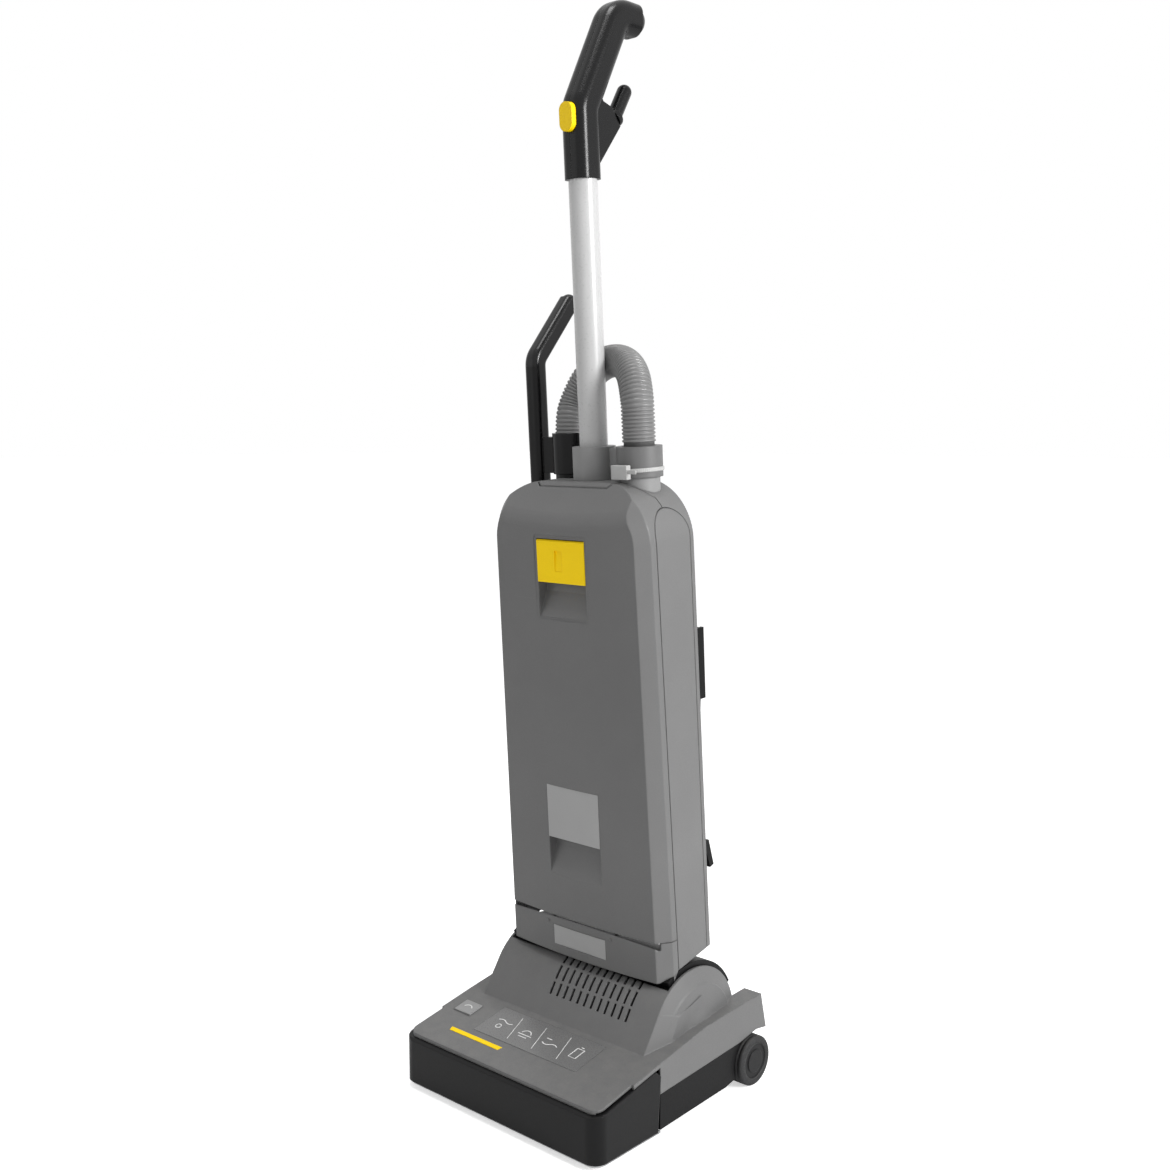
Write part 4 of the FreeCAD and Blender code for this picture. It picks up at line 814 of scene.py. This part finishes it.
# each sign is a few strokes about its own middle: waves, arcs and straight runs
signSettings = {
    "foot": -0.0002, "lift": 0.00035, "line": 0.0012, "back": 0.0715, "pitch": 0.038, "first": -0.057,
    "pictures": (
        (("wave", 0, 0.004, 0.022, 0.0018), ("arc", -0.002, -0.006, 0.0034, 0, 350)),
        (("run", (-0.010, -0.004), (0.010, -0.004)), ("arc", 0, -0.003, 0.007, 15, 165),
         ("run", (-0.006, -0.008), (0.006, -0.008))),
        (("wave", 0, -0.003, 0.022, -0.002), ("run", (-0.011, 0.005), (-0.003, 0.005))),
        (("run", (-0.005, 0.008), (-0.005, -0.008), (0.005, -0.008), (0.005, 0.008), (-0.005, 0.008)),
         ("run", (-0.002, 0.011), (0.002, 0.011))),
    ),
    "dividers": (-0.038, 0.0, 0.038), "slant": 0.006, "reach": 0.019, "thin": 0.6,
    "waveSteps": 16, "arcSteps": 14,
}
buttonSign = {"foot": 0.0010, "lift": 0.0018, "line": 0.0012, "stroke": ("arc", 0, -0.003, 0.0065, 25, 155),
              "middle": (-0.118, 0.0735)}


def strokePoints(kind, *shape):
    points = []
    if kind == "wave":
        x, y, width, high = shape
        steps = signSettings["waveSteps"]
        for i in range(steps + 1):
            points.append((x - width / 2 + width * i / steps, y + high * math.sin(2 * math.pi * i / steps)))
    elif kind == "arc":
        x, y, r, start, end = shape
        steps = signSettings["arcSteps"]
        for i in range(steps + 1):
            a = math.radians(start + (end - start) * i / steps)
            points.append((x + r * math.cos(a), y + r * math.sin(a)))
    else:
        points += shape
    return points


def strokePiece(name, points, width, s):
    # a raised line of short quads, so that its bends stay clean
    left, right = [], []
    for i, p in enumerate(points):
        before, after = points[max(i - 1, 0)], points[min(i + 1, len(points) - 1)]
        way = (Vector(after) - Vector(before)).normalized()
        side = Vector((-way.y, way.x)) * width / 2
        left.append((p[0] + side.x, p[1] + side.y))
        right.append((p[0] - side.x, p[1] - side.y))
    half = len(points)
    n = 2 * half
    verts = [deckPoint(x, back, level) for level in (s["foot"], s["lift"]) for x, back in left + right]
    faces = [(0, half, n + half, n), (half - 1, n + half - 1, n + n - 1, n - 1)]
    for i in range(half - 1):
        faces += [(i, i + 1, half + i + 1, half + i), (n + i, n + half + i, n + half + i + 1, n + i + 1),
                  (i, n + i, n + i + 1, i + 1), (half + i, half + i + 1, n + half + i + 1, n + half + i)]
    return addMesh(name, verts, faces, smooth=False)


def drawSigns(s):
    count = 0
    for i, picture in enumerate(s["pictures"]):
        middle = s["first"] + i * s["pitch"]
        for stroke in picture:
            count += 1
            points = [(middle + x, s["back"] + y) for x, y in strokePoints(*stroke)]
            piece = strokePiece("panelSign.%02d" % count, points, s["line"], s)
            place(piece, "base", signWhite)
    for i, x in enumerate(s["dividers"]):
        points = [(x - s["slant"], s["back"] + s["reach"]), (x + s["slant"], s["back"] - s["reach"])]
        line = strokePiece("panelDivider.%d" % (i + 1), points, s["line"] * s["thin"], s)
        place(line, "base", signWhite)


def drawButtonSign(s):
    points = [(s["middle"][0] + x, s["middle"][1] + y) for x, y in strokePoints(*s["stroke"])]
    piece = strokePiece("buttonSign", points, s["line"], s)
    place(piece, "release", signWhite)


drawSigns(signSettings)
drawButtonSign(buttonSign)
print("panel signs made")


# fleece dust bag: a swollen sack with a sewn edge and soft creases, held behind the door

bagSettings = {"low": (-0.088, -0.008, 0.214), "high": (0.084, 0.033, 0.516), "across": 56, "up": 88,
               "creases": 0.0016, "seed": 5, "sideDraw": 0.045, "endDraw": 0.02, "seam": 0.0006,
               "longFolds": (34, 9), "shortFolds": (90, 60), "sideFall": 5, "endFall": 7}


def dustBag(s):
    low, high = Vector(s["low"]), Vector(s["high"])
    mid, half = (low + high) / 2, (high - low) / 2
    verts, faces = [], []
    cols, rows = s["across"], s["up"]

    def swell(a, b):
        # thickness falls off towards the sewn edge, less in the corners
        return (1 - abs(a) ** s["sideFall"]) ** 0.5 * (1 - abs(b) ** s["endFall"]) ** 0.5

    def crease(x, u, side):
        (wide, tall), (fine, close) = s["longFolds"], s["shortFolds"]
        slow = noise.noise(Vector((x * wide, u * tall + side, s["seed"])))
        return slow + 0.5 * noise.noise(Vector((x * fine, u * close, side)))

    for side in (-1, 1):
        for j in range(rows + 1):
            for i in range(cols + 1):
                a, b = 2 * i / cols - 1, 2 * j / rows - 1
                pull = 1 - s["sideDraw"] * (1 - abs(b) ** 2) * abs(a) ** 3
                x = mid.x + half.x * a * pull
                u = mid.z + half.z * b * (1 - s["endDraw"] * (1 - a * a))
                full = swell(a, b)
                thick = (half.y - s["creases"]) * full + s["creases"] * crease(x, u, side) * full ** 0.5
                verts.append(onBody(x, mid.y + side * max(thick, s["seam"]), u))
    count = (cols + 1) * (rows + 1)
    for j in range(rows):
        for i in range(cols):
            k = j * (cols + 1) + i
            faces.append((k, k + 1, k + cols + 2, k + cols + 1))
            faces.append((count + k, count + k + cols + 1, count + k + cols + 2, count + k + 1))
    rim = list(range(cols)) + [j * (cols + 1) + cols for j in range(rows)]
    rim += [rows * (cols + 1) + i for i in range(cols, 0, -1)] + [j * (cols + 1) for j in range(rows, 0, -1)]
    for a, b in zip(rim, rim[1:] + rim[:1]):
        faces.append((a, count + a, count + b, b))
    return addMesh("dustBag", verts, faces)


bag = dustBag(bagSettings)
place(bag, "body", bagFleece, ["filter_bag"])
print("dust bag made")


# floor, backdrop and lamps

# each lamp is its place, its power in watts and its side in metres
studio = {"floor": "f6f6f6", "matt": 0.9, "glow": 0.56, "level": 0.5, "half": 40, "aim": (0, 0, 0.55),
          "lamps": {"key": (2.6, 0.3, 1.5, 80, 1.0), "fill": (-1.4, -2.6, 1.2, 3, 1.6),
                    "top": (0.1, -0.3, 2.8, 20, 0.8)}}


def addLamp(name, spec, target):
    x, y, z, power, size = spec
    lamp = bpy.data.lights.new(name, "AREA")
    lamp.energy = power
    lamp.size = size
    holder = bpy.data.objects.new(name, lamp)
    holder.location = (x, y, z)
    holder.rotation_euler = (Vector(target) - Vector((x, y, z))).to_track_quat("-Z", "Y").to_euler()
    scene.collection.objects.link(holder)


def makeStudio(s):
    mat, tree, shader = newMaterial("paleFloor")
    shader.inputs["Base Color"].default_value = hexColour(s["floor"])
    shader.inputs["Roughness"].default_value = s["matt"]
    shader.inputs["Emission Color"].default_value = (1, 1, 1, 1)
    seenFloor = tree.nodes.new("ShaderNodeLightPath").outputs["Is Camera Ray"]
    tree.links.new(addMath(tree, "MULTIPLY", seenFloor, s["glow"]), shader.inputs["Emission Strength"])
    half = s["half"]
    corners = [(-half, -half, 0), (half, -half, 0), (half, half, 0), (-half, half, 0)]
    floor = addMesh("floor", corners, [(0, 1, 2, 3)], False)
    floor.data.materials.append(mat)
    for name, spec in s["lamps"].items():
        addLamp(name, spec, s["aim"])
    world = bpy.data.worlds.new("studio")
    world.use_nodes = True
    scene.world = world
    tree = world.node_tree
    back = tree.nodes["Background"]
    back.inputs["Color"].default_value = (1, 1, 1, 1)
    path = tree.nodes.new("ShaderNodeLightPath")
    mirrored = addMath(tree, "MAXIMUM", path.outputs["Is Glossy Ray"], path.outputs["Is Transmission Ray"])
    seen = addMath(tree, "MAXIMUM", path.outputs["Is Camera Ray"], mirrored)
    strength = addRange(tree, seen, 0.0, 1.0, s["level"], 1.0)
    tree.links.new(strength, back.inputs["Strength"])
    scene.view_settings.view_transform = "Standard"


makeStudio(studio)
print("studio set")

bpy.context.view_layer.update()
